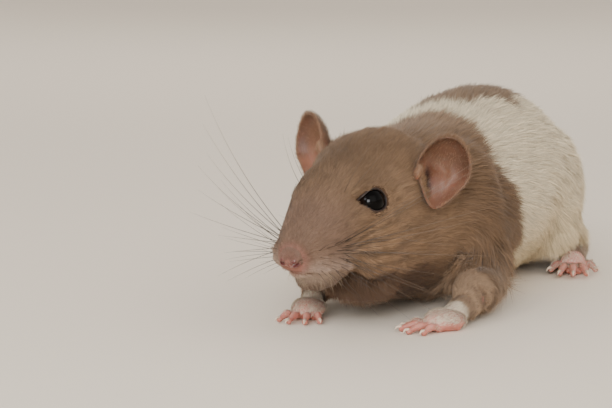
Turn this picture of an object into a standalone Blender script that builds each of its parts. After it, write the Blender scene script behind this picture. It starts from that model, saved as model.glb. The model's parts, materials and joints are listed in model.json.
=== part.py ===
"""A life-size hooded rat at rest on its belly, head low over its forefeet.

The rat lies along Y with its nose towards -Y, its left side is +X, and the floor is Z = 0.
The flesh is moulded whole from lofts, tubes and ellipsoids, then parted with thin cuts.
Sizes are in metres, and those of the stations and of the joints are given in millimetres.
"""

import math
from collections import namedtuple

import bmesh
import bpy
import numpy as np
from mathutils import Matrix, Vector

MM = 0.001
GAP = 0.3 * MM
MERGE = 0.001 * MM
COAT_VOXEL = 1.1 * MM
HEAD_VOXEL = 0.6 * MM
NOSE_VOXEL = 0.3 * MM
BODY_TRIANGLES = 1900
HEAD_TRIANGLES = 1900
NOSE_TRIANGLES = 260
LEFT, RIGHT = 1, -1
SIDE_NAMES = {LEFT: "left", RIGHT: "right"}

# The head: its frame has X forward, Y to the rat's left, Z up, and starts midway between the eyes.
HEAD_CENTRE = Vector((-1.5, -84.0, 33.0)) * MM
HEAD_TURN = math.radians(9.0)
HEAD_DIP = math.radians(12.0)
HEAD_TILT = math.radians(6.0)

Station = namedtuple("Station", "along height half_width rise drop")
Ball = namedtuple("Ball", "centre radii")
Digit = namedtuple("Digit", "degrees across back length")

# Rings across the trunk from the neck to the root of the tail, along Y, in millimetres.
TRUNK = (
    Station(-74, 27, 14.5, 13.5, 20.0),
    Station(-54, 26, 20.5, 19.5, 21.5),
    Station(-35, 26, 26.5, 20.5, 24.0),
    Station(-14, 26, 29.0, 23.0, 25.5),
    Station(10, 27, 31.0, 26.5, 28.0),
    Station(34, 28, 32.0, 29.0, 29.0),
    Station(56, 27, 29.0, 28.5, 27.5),
    Station(74, 22.5, 23.0, 24.5, 21.0),
    Station(87, 16.5, 12.5, 14.5, 13.0),
    Station(97, 12, 5.4, 5.6, 6.2),
)
TRUNK_PEAK = 0.16
NECK_CUT = -50.0 * MM
CHEST_CUT = -12.0 * MM
RUMP_CUT = 34.0 * MM

# Round forms of the left side of the body, their centres and half sizes in millimetres.
HAUNCH = Ball((18.5, 49, 24), (13, 25, 21))
SHOULDER_BLADE = Ball((14, -36, 28), (13, 19, 18))
THIGH = Ball((30, 45, 22), (17, 32, 27))
TOES_ROOM = Ball((31.5, 30, 2), (8, 14, 6))

# Rings across the head from the nape to the end of the muzzle, along the head's X.
HEAD = (
    Station(-31, -2.0, 14.5, 13.0, 17.0),
    Station(-24, -2.0, 15.2, 13.8, 18.0),
    Station(-16, -2.0, 14.8, 14.0, 18.5),
    Station(-8, -1.6, 13.2, 12.9, 18.0),
    Station(-1, -1.2, 11.3, 11.0, 16.5),
    Station(6, -2.6, 9.7, 8.8, 14.0),
    Station(13, -4.4, 7.8, 6.6, 11.2),
    Station(18.0, -5.8, 5.8, 5.0, 8.2),
    Station(21.6, -6.8, 3.8, 3.2, 5.0),
)
HEAD_PEAK = 0.05

# Round forms of the left side of the head, in the head's frame, in millimetres.
CHIN = Ball((5.5, 0, -15.0), (12.0, 5.6, 5.2))
CHEEK = Ball((-8, 8.0, -10.0), (12.0, 7.4, 11.0))
MUZZLE = Ball((12.4, 4.2, -9.0), (7.4, 4.2, 4.8))
BROW = Ball((-1.8, 6.1, 3.2), (7.0, 3.6, 2.8))
EAR_ROOT = Ball((-22, 12.5, 2.0), (5.0, 4.0, 5.4))
WHISKER_PAD = Ball((13.2, 7.6, -8.9), (7.2, 5.2, 4.3))
NOSE_TIP = Ball((21.0, 0, -7.2), (2.9, 3.1, 2.8))
NOSE_WING = Ball((22.1, 1.5, -7.5), (1.9, 1.5, 1.8))
NOSE_CLEFT = Ball((24.1, 0, -9.5), (1.6, 0.28, 1.8))
NOSTRIL = ((24.5, 0.9, -8.1), (23.3, 1.8, -7.8), (22.2, 3.4, -6.7))
NOSTRIL_RADII = (0.55, 0.62, 0.3)

EYE_RADIUS = 4.0 * MM
EYE_CENTRE = Vector((-2.5, 7.9, 0.1)) * MM
EYE_AXIS = Vector((0.42, 0.80, 0.46)).normalized()
EYE_CORNER = Vector((0.90, -0.20, 0.26))
LID_LENGTH = 3.6 * MM
LID_HEIGHT = 2.85 * MM
LID_CORNER = 0.45 * MM
LID_THICKNESS = 0.75 * MM
LID_RIM = 0.4 * MM
LID_STEPS = 18

# The right ear is pricked a little further forward than the left.
EAR_CENTRE = {LEFT: Vector((-20.9, 19.2, 3.8)) * MM, RIGHT: Vector((-21.3, -19.1, 4.8)) * MM}
EAR_OPENING = {LEFT: Vector((0.66, 0.70, 0.20)), RIGHT: Vector((0.79, -0.57, 0.21))}
EAR_RISE = {LEFT: Vector((-0.14, 0.30, 0.92)), RIGHT: Vector((-0.42, -0.30, 0.92))}
EAR_HALF_HEIGHT = 8.9 * MM
EAR_HALF_WIDTH = 6.9 * MM
EAR_DEPTH = 5.2 * MM
EAR_WALL = 0.85 * MM
EAR_TAPER = 0.48
EAR_LOBE = Ball((-1.4, 6.2, 0.2), (2.0, 1.0, 1.4))

# The box in the head's frame that parts the head from the neck and clears the forelegs.
HEAD_ROOM = (Vector((-23.0, -19.0, -27.0)) * MM, Vector((60.0, 19.0, 40.0)) * MM)
JAW_BLOCK = (Vector((1.0, -12.0, -36.0)) * MM, Vector((26.0, 12.0, -13.4)) * MM)
JAW_SLOPE = math.radians(-9.0)

WHISKER_ROWS = 4
WHISKERS_A_ROW = 3
WHISKER_STEPS = 4
WHISKER_RADIUS = 0.3 * MM
WHISKER_TIP_RADIUS = 0.1 * MM
WHISKER_SHORTEST = 20.0 * MM
WHISKER_LONGEST = 42.0 * MM
WHISKER_ROOT = 1.6 * MM
WHISKER_BEND = 0.32
WHISKER_FRONT = Vector((17.4, 5.5, -6.2)) * MM
WHISKER_BACKWARD = Vector((-6.6, 2.0, 0.0)) * MM
WHISKER_DOWNWARD = Vector((0.0, 0.0, -5.2)) * MM

# Shoulder, elbow, wrist and palm of each foreleg in millimetres: the left paw is turned in.
ARMS = {
    LEFT: ((17, -40, 25), (24.0, -38, 12), (25.0, -62, 4.9), (22.0, -69, 2.6)),
    RIGHT: ((-16, -42, 25), (-20.5, -36, 12), (-17.0, -57, 5.4), (-16.0, -64, 2.6)),
}
ARM_RADII = (11.0, 8.0, 4.4, 3.4)
HAND_TURN = {LEFT: math.radians(-24), RIGHT: math.radians(-4)}
PALM_RADII = (4.3, 5.6, 2.9)
FINGERS = (
    Digit(-26, -2.9, 0.6, 6.0),
    Digit(-9, -1.0, 0.0, 7.6),
    Digit(9, 1.1, 0.0, 7.6),
    Digit(26, 2.9, 0.6, 6.0),
)
FINGER_RADIUS = 1.05 * MM
FINGER_CLAW = 1.7 * MM

# Hip, knee and ankle of the left hind leg in millimetres. The right one mirrors it.
LEG = ((16, 58, 28), (24.5, 28, 18), (26, 61, 9))
LEG_RADII = (14.0, 10.0, 5.0)
SOLE = ((24.8, 70.5, 5.4), (25.4, 67, 4.4), (28.0, 52, 3.6), (31.5, 37, 3.2))
SOLE_RADII = (1.3, 3.9, 3.6, 3.9)
TOES_START = (32.0, 35.0, 2.2)
TOES_HEADING = (3.0, -14.0, 0.0)
TOES = (
    Digit(-30, -3.4, 3.5, 7.0),
    Digit(-12, -1.9, 0.5, 10.5),
    Digit(0, 0.0, 0.0, 11.0),
    Digit(12, 1.9, 0.5, 10.5),
    Digit(32, 3.4, 5.0, 6.5),
)
TOE_RADIUS = 1.2 * MM
TOE_CLAW = 2.2 * MM

TAIL_LENGTH = 172.0 * MM
TAIL_BASE_RADIUS = 4.9 * MM
TAIL_TIP_RADIUS = 1.1 * MM
TAIL_ROOT = Vector((0.0, 93.0, 12.0)) * MM
TAIL_STRAIGHT = 6.0 * MM
TAIL_DESCENT = 32.0 * MM
TAIL_TURN_RADIUS = 24.0 * MM
TAIL_TURN = math.radians(182.0)
TAIL_PIECES = 5
TAIL_STEPS = 7

COAT_BROWN = (0.22, 0.15, 0.10, 1.0)
COAT_CREAM = (0.72, 0.66, 0.54, 1.0)
SKIN_PINK = (0.72, 0.42, 0.35, 1.0)
EYE_BLACK = (0.01, 0.008, 0.008, 1.0)


def clear_scene():
    for thing in list(bpy.data.objects):
        bpy.data.objects.remove(thing)


def new_collection(name):
    made = bpy.data.collections.new(name)
    bpy.context.scene.collection.children.link(made)
    return made


def new_material(name, colour, roughness):
    made = bpy.data.materials.new(name)
    made.use_nodes = True
    shader = made.node_tree.nodes["Principled BSDF"]
    shader.inputs["Base Color"].default_value = colour
    shader.inputs["Roughness"].default_value = roughness
    shader.inputs["Metallic"].default_value = 0.0
    return made


def with_modifiers(mesh, *settings):
    """The mesh after modifiers, each given as (kind, {setting: value})."""
    obj = bpy.data.objects.new("work", mesh)
    bpy.context.scene.collection.objects.link(obj)
    for kind, values in settings:
        modifier = obj.modifiers.new(kind, kind)
        for key, value in values.items():
            setattr(modifier, key, value)
    graph = bpy.context.evaluated_depsgraph_get()
    made = bpy.data.meshes.new_from_object(obj.evaluated_get(graph))
    bpy.data.objects.remove(obj)
    return made


def edited(mesh, edit, merge=True):
    """The mesh after edit(bm), by default with its doubles merged and its faces out."""
    bm = bmesh.new()
    bm.from_mesh(mesh)
    edit(bm)
    if merge:
        bmesh.ops.remove_doubles(bm, verts=bm.verts, dist=MERGE)
        bmesh.ops.recalc_face_normals(bm, faces=bm.faces)
    made = bpy.data.meshes.new("form")
    bm.to_mesh(made)
    bm.free()
    return made


def made_by(build):
    """A new mesh from build(bm)."""
    return edited(bpy.data.meshes.new("empty"), build)


def head_place():
    """The head's frame in the rat's: X forward, Y left, Z up, turned, dipped and tilted."""
    facing = Matrix.Rotation(-math.pi / 2 - HEAD_TURN, 4, "Z")
    dip = Matrix.Rotation(HEAD_DIP, 4, "Y")
    tilt = Matrix.Rotation(-HEAD_TILT, 4, "X")
    return Matrix.Translation(HEAD_CENTRE) @ facing @ dip @ tilt


def sided(point, side):
    """A point or direction of the left side, mirrored over the head's own mid plane for the right."""
    return Vector((point[0], point[1] * side, point[2]))


def leg_point(point, side):
    """A joint of the left legs in metres, mirrored over the rat's mid plane for the right."""
    return Vector((point[0] * side, point[1], point[2])) * MM


def smooth_rows(rows, steps):
    """The rows of numbers with steps - 1 more between each pair, on one smooth curve."""
    rows = np.array(rows, float)
    padded = np.vstack([2 * rows[0] - rows[1], rows, 2 * rows[-1] - rows[-2]])
    made = []
    for a, b, c, d in zip(padded, padded[1:], padded[2:], padded[3:]):
        for t in np.arange(steps) / steps:
            bend = 2 * a - 5 * b + 4 * c - d + t * (3 * (b - c) + d - a)
            made.append(b + 0.5 * t * (c - a + t * bend))
    made.append(rows[-1])
    return made


def loft(stations, peak, place, segments=32, steps=3):
    """A closed form through egg-shaped rings, narrower on top by the share called peak.

    place turns (along, side, height) into a point.
    """

    def build(bm):
        rings = []
        for along, height, half_width, rise, drop in smooth_rows(stations, steps) * np.array(MM):
            ring = bmesh.ops.create_circle(bm, segments=segments, radius=1.0)["verts"]
            for vert in ring:
                up = vert.co.y
                tall = rise if up > 0 else drop
                side = vert.co.x * half_width * (1 - peak * max(0.0, up))
                vert.co = place(along, side, height + up * tall)
            rings.append({edge for vert in ring for edge in vert.link_edges})
        for near, far in zip(rings, rings[1:]):
            bmesh.ops.bridge_loops(bm, edges=list(near | far))
        bmesh.ops.holes_fill(bm, edges=[e for e in bm.edges if e.is_boundary], sides=0)

    return made_by(build)


def ellipsoid(centre, radii, frame, around=24, rows=16):
    """A closed ellipsoid whose centre and radii are metres in the frame."""
    size = Matrix.Diagonal((*radii, 1.0))
    matrix = frame @ Matrix.Translation(centre) @ size
    return made_by(
        lambda bm: bmesh.ops.create_uvsphere(
            bm, u_segments=around, v_segments=rows, radius=1.0, matrix=matrix
        )
    )


def body_ball(form, side, more=0.0, around=24, rows=16):
    """A round form of the body, on its own side and a little larger by more."""
    radii = Vector(form.radii) * MM + Vector((more, more, more))
    return ellipsoid(leg_point(form.centre, side), radii, Matrix.Identity(4), around, rows)


def head_ball(head, form, side, more=0.0, around=24, rows=16):
    """A round form of the head, on its own side and a little larger by more."""
    radii = Vector(form.radii) * MM + Vector((more, more, more))
    return ellipsoid(sided(form.centre, side) * MM, radii, head, around, rows)


def block(low, high, frame):
    """A closed box between two corners given in the frame."""
    middle = (low + high) / 2
    size = Matrix.Diagonal((*(high - low), 1.0))
    matrix = frame @ Matrix.Translation(middle) @ size
    return made_by(lambda bm: bmesh.ops.create_cube(bm, size=1.0, matrix=matrix))


def tube(points, radii, bevel_resolution=2, ring=False):
    """A round tube through the points, with its own radius at each, capped or joined in a ring."""
    curve = bpy.data.curves.new("tube", "CURVE")
    curve.dimensions = "3D"
    curve.bevel_depth = 1.0
    curve.bevel_resolution = bevel_resolution
    curve.use_fill_caps = True
    spline = curve.splines.new("POLY")
    spline.use_cyclic_u = ring
    spline.points.add(len(points) - 1)
    for knot, point, radius in zip(spline.points, points, radii):
        knot.co = (*point, 1.0)
        knot.radius = radius
    obj = bpy.data.objects.new("tube", curve)
    bpy.context.scene.collection.objects.link(obj)
    graph = bpy.context.evaluated_depsgraph_get()
    mesh = bpy.data.meshes.new_from_object(obj.evaluated_get(graph))
    bpy.data.objects.remove(obj)
    return edited(mesh, lambda bm: None)


def smooth_tube(points, radii, steps=4, bevel_resolution=4):
    """A tube on a smooth curve through the points, which also smooths the radii."""
    rows = smooth_rows([(*point, radius) for point, radius in zip(points, radii)], steps)
    return tube([row[:3] for row in rows], [row[3] for row in rows], bevel_resolution)


def joined(meshes):
    """Closed forms put in one mesh, still overlapping."""

    def build(bm):
        for mesh in meshes:
            bm.from_mesh(mesh)

    return edited(bpy.data.meshes.new("empty"), build, merge=False)


def moulded(forms, voxel, passes, triangles):
    """One smooth closed skin over overlapping forms, brought down to about so many triangles."""
    skin = with_modifiers(
        joined(forms),
        ("REMESH", {"mode": "VOXEL", "voxel_size": voxel}),
        ("SMOOTH", {"factor": 0.5, "iterations": passes}),
        ("TRIANGULATE", {}),
    )
    ratio = min(1.0, triangles / len(skin.polygons))
    return with_modifiers(skin, ("DECIMATE", {"ratio": ratio}))


def largest_body(mesh):
    """Only the biggest closed surface of a mesh."""

    def keep(bm):
        left, bodies = set(bm.faces), []
        while left:
            front, body = [left.pop()], set()
            while front:
                face = front.pop()
                body.add(face)
                near = {other for edge in face.edges for other in edge.link_faces}
                front += list(near & left)
                left -= near
            bodies.append(body)
        biggest = max(bodies, key=lambda body: sum(face.calc_area() for face in body))
        others = [face for body in bodies if body is not biggest for face in body]
        bmesh.ops.delete(bm, geom=others, context="FACES")
        bmesh.ops.triangulate(bm, faces=[face for face in bm.faces if len(face.verts) > 3])

    return edited(mesh, keep, merge=False)


def boolean(mesh, operation, others):
    """The mesh joined with, cut by or kept inside other closed meshes."""
    cutters = new_collection("cutters")
    for other in others:
        cutters.objects.link(bpy.data.objects.new("cutter", other))
    settings = {
        "operation": operation,
        "operand_type": "COLLECTION",
        "collection": cutters,
        "solver": "EXACT",
    }
    made = with_modifiers(mesh, ("BOOLEAN", settings))
    for obj in list(cutters.objects):
        bpy.data.objects.remove(obj)
    bpy.data.collections.remove(cutters)
    return largest_body(made)


def sliced(mesh, point, normal):
    """The part of a closed mesh that lies where the normal points, with its cut capped."""

    def cut(bm):
        everything = [*bm.verts, *bm.edges, *bm.faces]
        bmesh.ops.bisect_plane(
            bm, geom=everything, dist=1e-7, plane_co=point, plane_no=normal, clear_inner=True
        )
        bmesh.ops.holes_fill(bm, edges=[e for e in bm.edges if e.is_boundary], sides=0)
        bmesh.ops.triangulate(bm, faces=[face for face in bm.faces if len(face.verts) > 3])

    return largest_body(edited(mesh, cut))


def parted(mesh, point, normal):
    """Both sides of a thin cut across a mesh: the side the normal points to comes first."""
    half = normal.normalized() * GAP / 2
    return sliced(mesh, point + half, normal), sliced(mesh, point - half, -normal)


def grown(mesh, by=GAP):
    """A copy of a closed mesh with its surface moved out."""
    return with_modifiers(mesh, ("DISPLACE", {"strength": by, "mid_level": 0.0}))


def on_floor(mesh):
    """The mesh with what reaches under the floor cut off flat."""
    lowest = min(vert.co.z for vert in mesh.vertices)
    return sliced(mesh, Vector((0, 0, 0)), Vector((0, 0, 1))) if lowest < 0 else mesh


def limb(joints, radii):
    return smooth_tube([Vector(joint) * MM for joint in joints], [radius * MM for radius in radii])


def body_forms():
    """Closed forms that overlap to make the trunk, the neck and the furred legs."""
    forms = [loft(TRUNK, TRUNK_PEAK, lambda along, side, height: Vector((side, along, height)))]
    for side in (LEFT, RIGHT):
        forms.append(limb(ARMS[side], ARM_RADII))
        forms.append(limb([(x * side, y, z) for x, y, z in LEG], LEG_RADII))
        forms += [body_ball(HAUNCH, side), body_ball(SHOULDER_BLADE, side)]
    return forms


def head_forms(head):
    """Closed forms that overlap to make the skull, the cheeks, the muzzle and the jaw."""
    forms = [
        loft(HEAD, HEAD_PEAK, lambda along, side, height: head @ Vector((along, side, height))),
        head_ball(head, CHIN, LEFT),
    ]
    for side in (LEFT, RIGHT):
        forms += [head_ball(head, form, side) for form in (CHEEK, MUZZLE, BROW, EAR_ROOT)]
    return forms


def frame_from(centre, axis, along):
    """A frame at a point whose Z is the axis and whose X leans along the second direction."""
    z = axis.normalized()
    x = (along - z * along.dot(z)).normalized()
    y = z.cross(x)
    turn = Matrix((x, y, z)).transposed().to_4x4()
    return Matrix.Translation(centre) @ turn


def eye_place(head, side):
    """The eye's frame: Z out of the socket, X towards the corner near the nose."""
    return head @ frame_from(
        sided(EYE_CENTRE, side), sided(EYE_AXIS, side), sided(EYE_CORNER, side)
    )


def lid_edge(share):
    """A point of the opening between the lids, round to the back and pointed in front."""
    angle = math.tau * share
    forward = max(0.0, math.cos(angle))
    return Vector(
        (
            LID_LENGTH * math.cos(angle) + LID_CORNER * forward**3,
            LID_HEIGHT * math.sin(angle) * (1 - 0.45 * forward**2),
            0.0,
        )
    )


def lid_forms(place):
    """What is added round one eye: a dome of skin over the ball, and the raised edge of the lids."""
    reach = EYE_RADIUS + LID_THICKNESS
    dome = ellipsoid(Vector((0, 0, 0)), [reach] * 3, place, 18, 12)
    spots = []
    for step in range(LID_STEPS):
        spot = 1.06 * lid_edge(step / LID_STEPS)
        spot.z = math.sqrt(max(0.0, reach**2 - spot.length_squared))
        spots.append(place @ spot)
    return [dome, tube(spots, [LID_RIM] * len(spots), 0, ring=True)]


def lid_cutters(place):
    """What is cut out round one eye: the ball's room, and the opening between the lids."""
    room = ellipsoid(Vector((0, 0, 0)), [EYE_RADIUS + GAP] * 3, place, 16, 10)

    def opening(bm):
        ring = bmesh.ops.create_circle(bm, cap_ends=True, segments=LID_STEPS, radius=1.0)["verts"]
        for step, vert in enumerate(ring):
            vert.co = lid_edge(step / len(ring))
        pushed = bmesh.ops.extrude_face_region(bm, geom=list(bm.faces))["geom"]
        moved = [part for part in pushed if isinstance(part, bmesh.types.BMVert)]
        bmesh.ops.translate(bm, verts=moved, vec=(0, 0, 2 * EYE_RADIUS))
        bmesh.ops.transform(bm, matrix=place, verts=bm.verts)

    return [room, made_by(opening)]


def ear_place(head, side):
    """The ear's frame: Z out of the cup, X towards its top."""
    return head @ frame_from(EAR_CENTRE[side], EAR_OPENING[side], EAR_RISE[side])


def shape_ear(bm, size):
    """Turns a round ball into the egg that the ear is half of, narrow and deep low down."""
    for vert in bm.verts:
        tall, wide, deep = vert.co
        low = max(0.0, -tall)
        vert.co.x = size * EAR_HALF_HEIGHT * tall
        vert.co.y = size * EAR_HALF_WIDTH * wide * (1 - EAR_TAPER * low)
        vert.co.z = size * EAR_DEPTH * deep * (1 - 0.30 * tall)


def ear(head, side):
    """A thin cup that opens forwards and sideways, with a small lobe on its front edge."""
    place = ear_place(head, side)

    def cup(bm):
        bmesh.ops.create_uvsphere(bm, u_segments=20, v_segments=8, radius=1.0)
        everything = [*bm.verts, *bm.edges, *bm.faces]
        bmesh.ops.bisect_plane(
            bm, geom=everything, dist=1e-6, plane_co=(0, 0, 0), plane_no=(0, 0, 1), clear_outer=True
        )
        shape_ear(bm, 1.0)

    shell = with_modifiers(made_by(cup), ("SOLIDIFY", {"thickness": EAR_WALL, "offset": 0.0}))
    shell.transform(place)
    lobe = head_ball(place, EAR_LOBE, side, around=8, rows=6)
    return boolean(edited(shell, lambda bm: None), "UNION", [lobe])


def ear_hollow(head, side):
    """The space inside one ear, which reaches a little into the side of the skull."""

    def egg(bm):
        bmesh.ops.create_uvsphere(bm, u_segments=14, v_segments=10, radius=1.0)
        shape_ear(bm, 0.93)
        bmesh.ops.transform(bm, matrix=ear_place(head, side), verts=bm.verts)

    return made_by(egg)


def nose(head):
    """The bare end of the muzzle: two rounded wings, comma-shaped nostrils and a cleft."""
    forms = [head_ball(head, NOSE_TIP, LEFT)]
    cuts = [head_ball(head, NOSE_CLEFT, LEFT, around=10, rows=8)]
    radii = [radius * MM for radius in NOSTRIL_RADII]
    for side in (LEFT, RIGHT):
        forms.append(head_ball(head, NOSE_WING, side))
        spots = [head @ (sided(spot, side) * MM) for spot in NOSTRIL]
        cuts.append(smooth_tube(spots, radii, 2, 1))
    return boolean(moulded(forms, NOSE_VOXEL, 4, NOSE_TRIANGLES), "DIFFERENCE", cuts)


def nose_room(head):
    """The hollow at the end of the muzzle that the nose sits in."""
    wings = [head_ball(head, NOSE_WING, side, GAP, 14, 10) for side in (LEFT, RIGHT)]
    return [head_ball(head, NOSE_TIP, LEFT, GAP, 18, 12), *wings]


def whisker(root, out, length):
    """One tapered whisker that leaves along out, then bends back and down."""
    back = Vector((0.0, 1.0, -0.1))
    points, radii = [], []
    for step in range(WHISKER_STEPS + 1):
        t = step / WHISKER_STEPS
        bent = out.lerp(back, WHISKER_BEND * t).normalized()
        points.append(root + bent * (length * t - WHISKER_ROOT * (1 - t)))
        radii.append(WHISKER_RADIUS + (WHISKER_TIP_RADIUS - WHISKER_RADIUS) * t)
    return tube(points, radii, 0)


def whiskers(head, side):
    """Rows of whiskers on one side of the muzzle, longest at the back."""
    made = []
    turn = head.to_3x3()
    for row in range(WHISKER_ROWS):
        for place in range(WHISKERS_A_ROW):
            back = place / (WHISKERS_A_ROW - 1)
            down = row / (WHISKER_ROWS - 1)
            spot = WHISKER_FRONT + back * WHISKER_BACKWARD + down * WHISKER_DOWNWARD
            out = Vector((0.42 - 0.62 * back, 1.0, 0.42 - 0.72 * down)).normalized()
            length = WHISKER_SHORTEST + (WHISKER_LONGEST - WHISKER_SHORTEST) * back
            root = head @ sided(spot, side)
            made.append(whisker(root, turn @ sided(out, side), length * (1 - 0.12 * down)))
    return made


def digit(start, heading, length, radius, claw):
    """One toe that arches up from the foot and comes down on its pad, with its claw."""
    lift = Vector((0, 0, radius))
    knuckles = [
        start - heading * radius * 1.5,
        start + heading * length * 0.45 + lift * 0.6,
        start + heading * length - lift * 0.5,
    ]
    toe = smooth_tube(knuckles, [radius, radius * 0.9, radius * 0.62], 2, 1)
    tip = knuckles[-1]
    nail = [tip - heading * radius, tip + heading * claw * 0.5 + lift * 0.3, tip + heading * claw]
    return [toe, tube(nail, [radius * 0.5, radius * 0.36, radius * 0.1], 0)]


def paw(forms, start, heading, digits, radius, claw):
    """A foot of one closed body: its forms, and the digits that spread from its front."""
    pieces = list(forms)
    sideways = Vector((-heading.y, heading.x, 0))
    for toe in digits:
        turned = Matrix.Rotation(math.radians(toe.degrees), 3, "Z") @ heading
        root = start + sideways * toe.across * MM - heading * toe.back * MM
        pieces += digit(root, turned, toe.length * MM, radius, claw)
    return boolean(pieces[0], "UNION", pieces[1:])


def wrist_and_palm(side):
    """The wrist, the palm and the direction from one to the other, in metres."""
    wrist, palm = (Vector(joint) * MM for joint in ARMS[side][2:])
    return wrist, palm, (palm - wrist).normalized()


def hand(side):
    """A forefoot with four toes, flat on the floor, from the cut at its wrist."""
    wrist, palm, along = wrist_and_palm(side)
    level = Vector((along.x, along.y, 0)).normalized()
    heading = Matrix.Rotation(HAND_TURN[side], 3, "Z") @ level
    frame = Matrix.Translation(palm) @ heading.to_track_quat("Y", "Z").to_matrix().to_4x4()
    pad = ellipsoid(Vector((0, 0, 0)), Vector(PALM_RADII) * MM, frame, 12, 8)
    stem = smooth_tube([wrist - along * 3 * MM, wrist, palm], [3.9 * MM, 3.9 * MM, 2.6 * MM], 2, 3)
    start = palm + heading * 3.8 * MM - Vector((0, 0, 1.4 * MM))
    whole = paw([pad, stem], start, heading, FINGERS, FINGER_RADIUS, FINGER_CLAW)
    return on_floor(sliced(whole, wrist + along * GAP / 2, along))


def hand_room(side):
    """The space in front of one wrist, which the forefoot fills."""
    wrist, _, along = wrist_and_palm(side)
    frame = frame_from(wrist - along * GAP / 2, along, Vector((0, 0, 1)))
    return block(Vector((-8, -7, 0)) * MM, Vector((8, 7, 20)) * MM, frame)


def sole(side, more=0.0):
    """The long sole of a hind foot, from heel to ball."""
    points = [leg_point(spot, side) for spot in SOLE]
    return smooth_tube(points, [radius * MM + more for radius in SOLE_RADII], 2, 3)


def foot(side):
    """A hind foot with five toes, the middle three the longest."""
    heading = leg_point(TOES_HEADING, side).normalized()
    start = leg_point(TOES_START, side)
    digits = [toe._replace(degrees=toe.degrees * side, across=toe.across * side) for toe in TOES]
    return on_floor(paw([sole(side)], start, heading, digits, TOE_RADIUS, TOE_CLAW))


def foot_room(side):
    """The space under the belly that the hind foot fills."""
    return [sole(side, 2 * GAP), body_ball(TOES_ROOM, side, 0.0, 16, 10)]


def tail_point(distance):
    """The middle of the tail so far from its root: back, round to the rat's right, then forward."""
    drop = min(1.0, distance / TAIL_DESCENT)
    radius = tail_radius(distance)
    height = TAIL_ROOT.z + (radius - 0.1 * MM - TAIL_ROOT.z) * (3 - 2 * drop) * drop**2
    turned = min(max(0.0, (distance - TAIL_STRAIGHT) / TAIL_TURN_RADIUS), TAIL_TURN)
    straight = min(distance, TAIL_STRAIGHT)
    beyond = max(0.0, distance - TAIL_STRAIGHT - TAIL_TURN * TAIL_TURN_RADIUS)
    x = -TAIL_TURN_RADIUS * (1 - math.cos(turned)) - beyond * math.sin(TAIL_TURN)
    y = TAIL_ROOT.y + straight + TAIL_TURN_RADIUS * math.sin(turned) + beyond * math.cos(TAIL_TURN)
    return Vector((x, y, height))


def tail_radius(distance):
    """The tail thins evenly, a little faster at its root."""
    share = max(0.0, distance / TAIL_LENGTH)
    return TAIL_BASE_RADIUS + (TAIL_TIP_RADIUS - TAIL_BASE_RADIUS) * share**0.8


def tail_heading(distance):
    """Which way the tail runs there; it leaves the rump level."""
    if distance == 0:
        return Vector((0, 1, 0))
    return (tail_point(distance + 0.5 * MM) - tail_point(distance - 0.5 * MM)).normalized()


def tail_piece(number):
    """One length of the tail, with a thin gap to what comes before and after it."""
    length = TAIL_LENGTH / TAIL_PIECES
    first, last = number * length, (number + 1) * length
    is_tip = number == TAIL_PIECES - 1
    low, high = first - 2 * MM, last if is_tip else last + 2 * MM
    spots = [low + (high - low) * step / TAIL_STEPS for step in range(TAIL_STEPS + 1)]
    piece = tube([tail_point(spot) for spot in spots], [tail_radius(spot) for spot in spots], 2)
    heading = tail_heading(first)
    piece = sliced(piece, tail_point(first) + heading * GAP / 2, heading)
    if not is_tip:
        heading = tail_heading(last)
        piece = sliced(piece, tail_point(last) - heading * GAP / 2, -heading)
    return on_floor(piece)


def cut_twice(form, operation, roughly, exactly, triangles):
    """A form cut roughly, brought down to so many triangles, then cut where it ends."""
    rough = boolean(form, operation, [roughly])
    plain = with_modifiers(rough, ("DECIMATE", {"ratio": triangles / len(rough.polygons)}))
    return boolean(plain, operation, [exactly])


def flesh(head):
    """The head and the rest of the body, moulded as one form and parted at the nape."""
    forms = body_forms() + head_forms(head)
    fine = moulded(forms, HEAD_VOXEL, 10, 3 * HEAD_TRIANGLES)
    coarse = moulded(forms, COAT_VOXEL, 4, 2 * BODY_TRIANGLES)
    low, high = HEAD_ROOM
    inset, gap = Vector((2 * MM, 0, 2 * MM)), Vector((GAP, 0, GAP))
    rooms = [block(low + shift, high, head) for shift in (-inset, Vector(), inset, -gap)]
    skull = cut_twice(fine, "INTERSECT", rooms[0], rooms[1], HEAD_TRIANGLES)
    trunk = cut_twice(coarse, "DIFFERENCE", rooms[2], rooms[3], BODY_TRIANGLES)
    return skull, trunk


def feet_and_body(trunk):
    """The four feet, and the body with their places cut out and flat underneath."""
    nodes = {}
    for side in (LEFT, RIGHT):
        name = SIDE_NAMES[side]
        nodes[f"hind_foot_{name}"] = foot(side)
        nodes[f"forefoot_{name}"] = hand(side)
        trunk = boolean(trunk, "DIFFERENCE", foot_room(side) + [hand_room(side)])
    trunk = sliced(trunk, Vector((0, 0, 0)), Vector((0, 0, 1)))
    return nodes, sliced(trunk, Vector((0, TAIL_ROOT.y - GAP / 2, 0)), Vector((0, -1, 0)))


def legs_and_trunk(trunk):
    """The thighs, the upper arms and the forearms, and the trunk without them."""
    nodes = {}
    for side in (LEFT, RIGHT):
        name = SIDE_NAMES[side]
        thigh = boolean(trunk, "INTERSECT", [body_ball(THIGH, side, 0.0, 20, 12)])
        nodes[f"thigh_{name}"] = thigh
        trunk = boolean(trunk, "DIFFERENCE", [body_ball(THIGH, side, GAP, 20, 12)])

        joints = [Vector(joint) * MM for joint in ARMS[side][:3]]
        joints[0] += leg_point((6, 2, 4), side)
        joints[2] += (joints[2] - joints[1]) * 0.3
        reach = smooth_tube(joints, [11 * MM, 11 * MM, 8.5 * MM], 2, 3)
        arm = boolean(trunk, "INTERSECT", [reach])
        trunk = boolean(trunk, "DIFFERENCE", [grown(reach, 2 * GAP)])
        bend = leg_point((-0.2, 0.8, 0.6), side)
        upper, lower = parted(arm, joints[1], bend)
        nodes[f"upper_arm_{name}"], nodes[f"forearm_{name}"] = upper, lower
    return nodes, trunk


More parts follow.
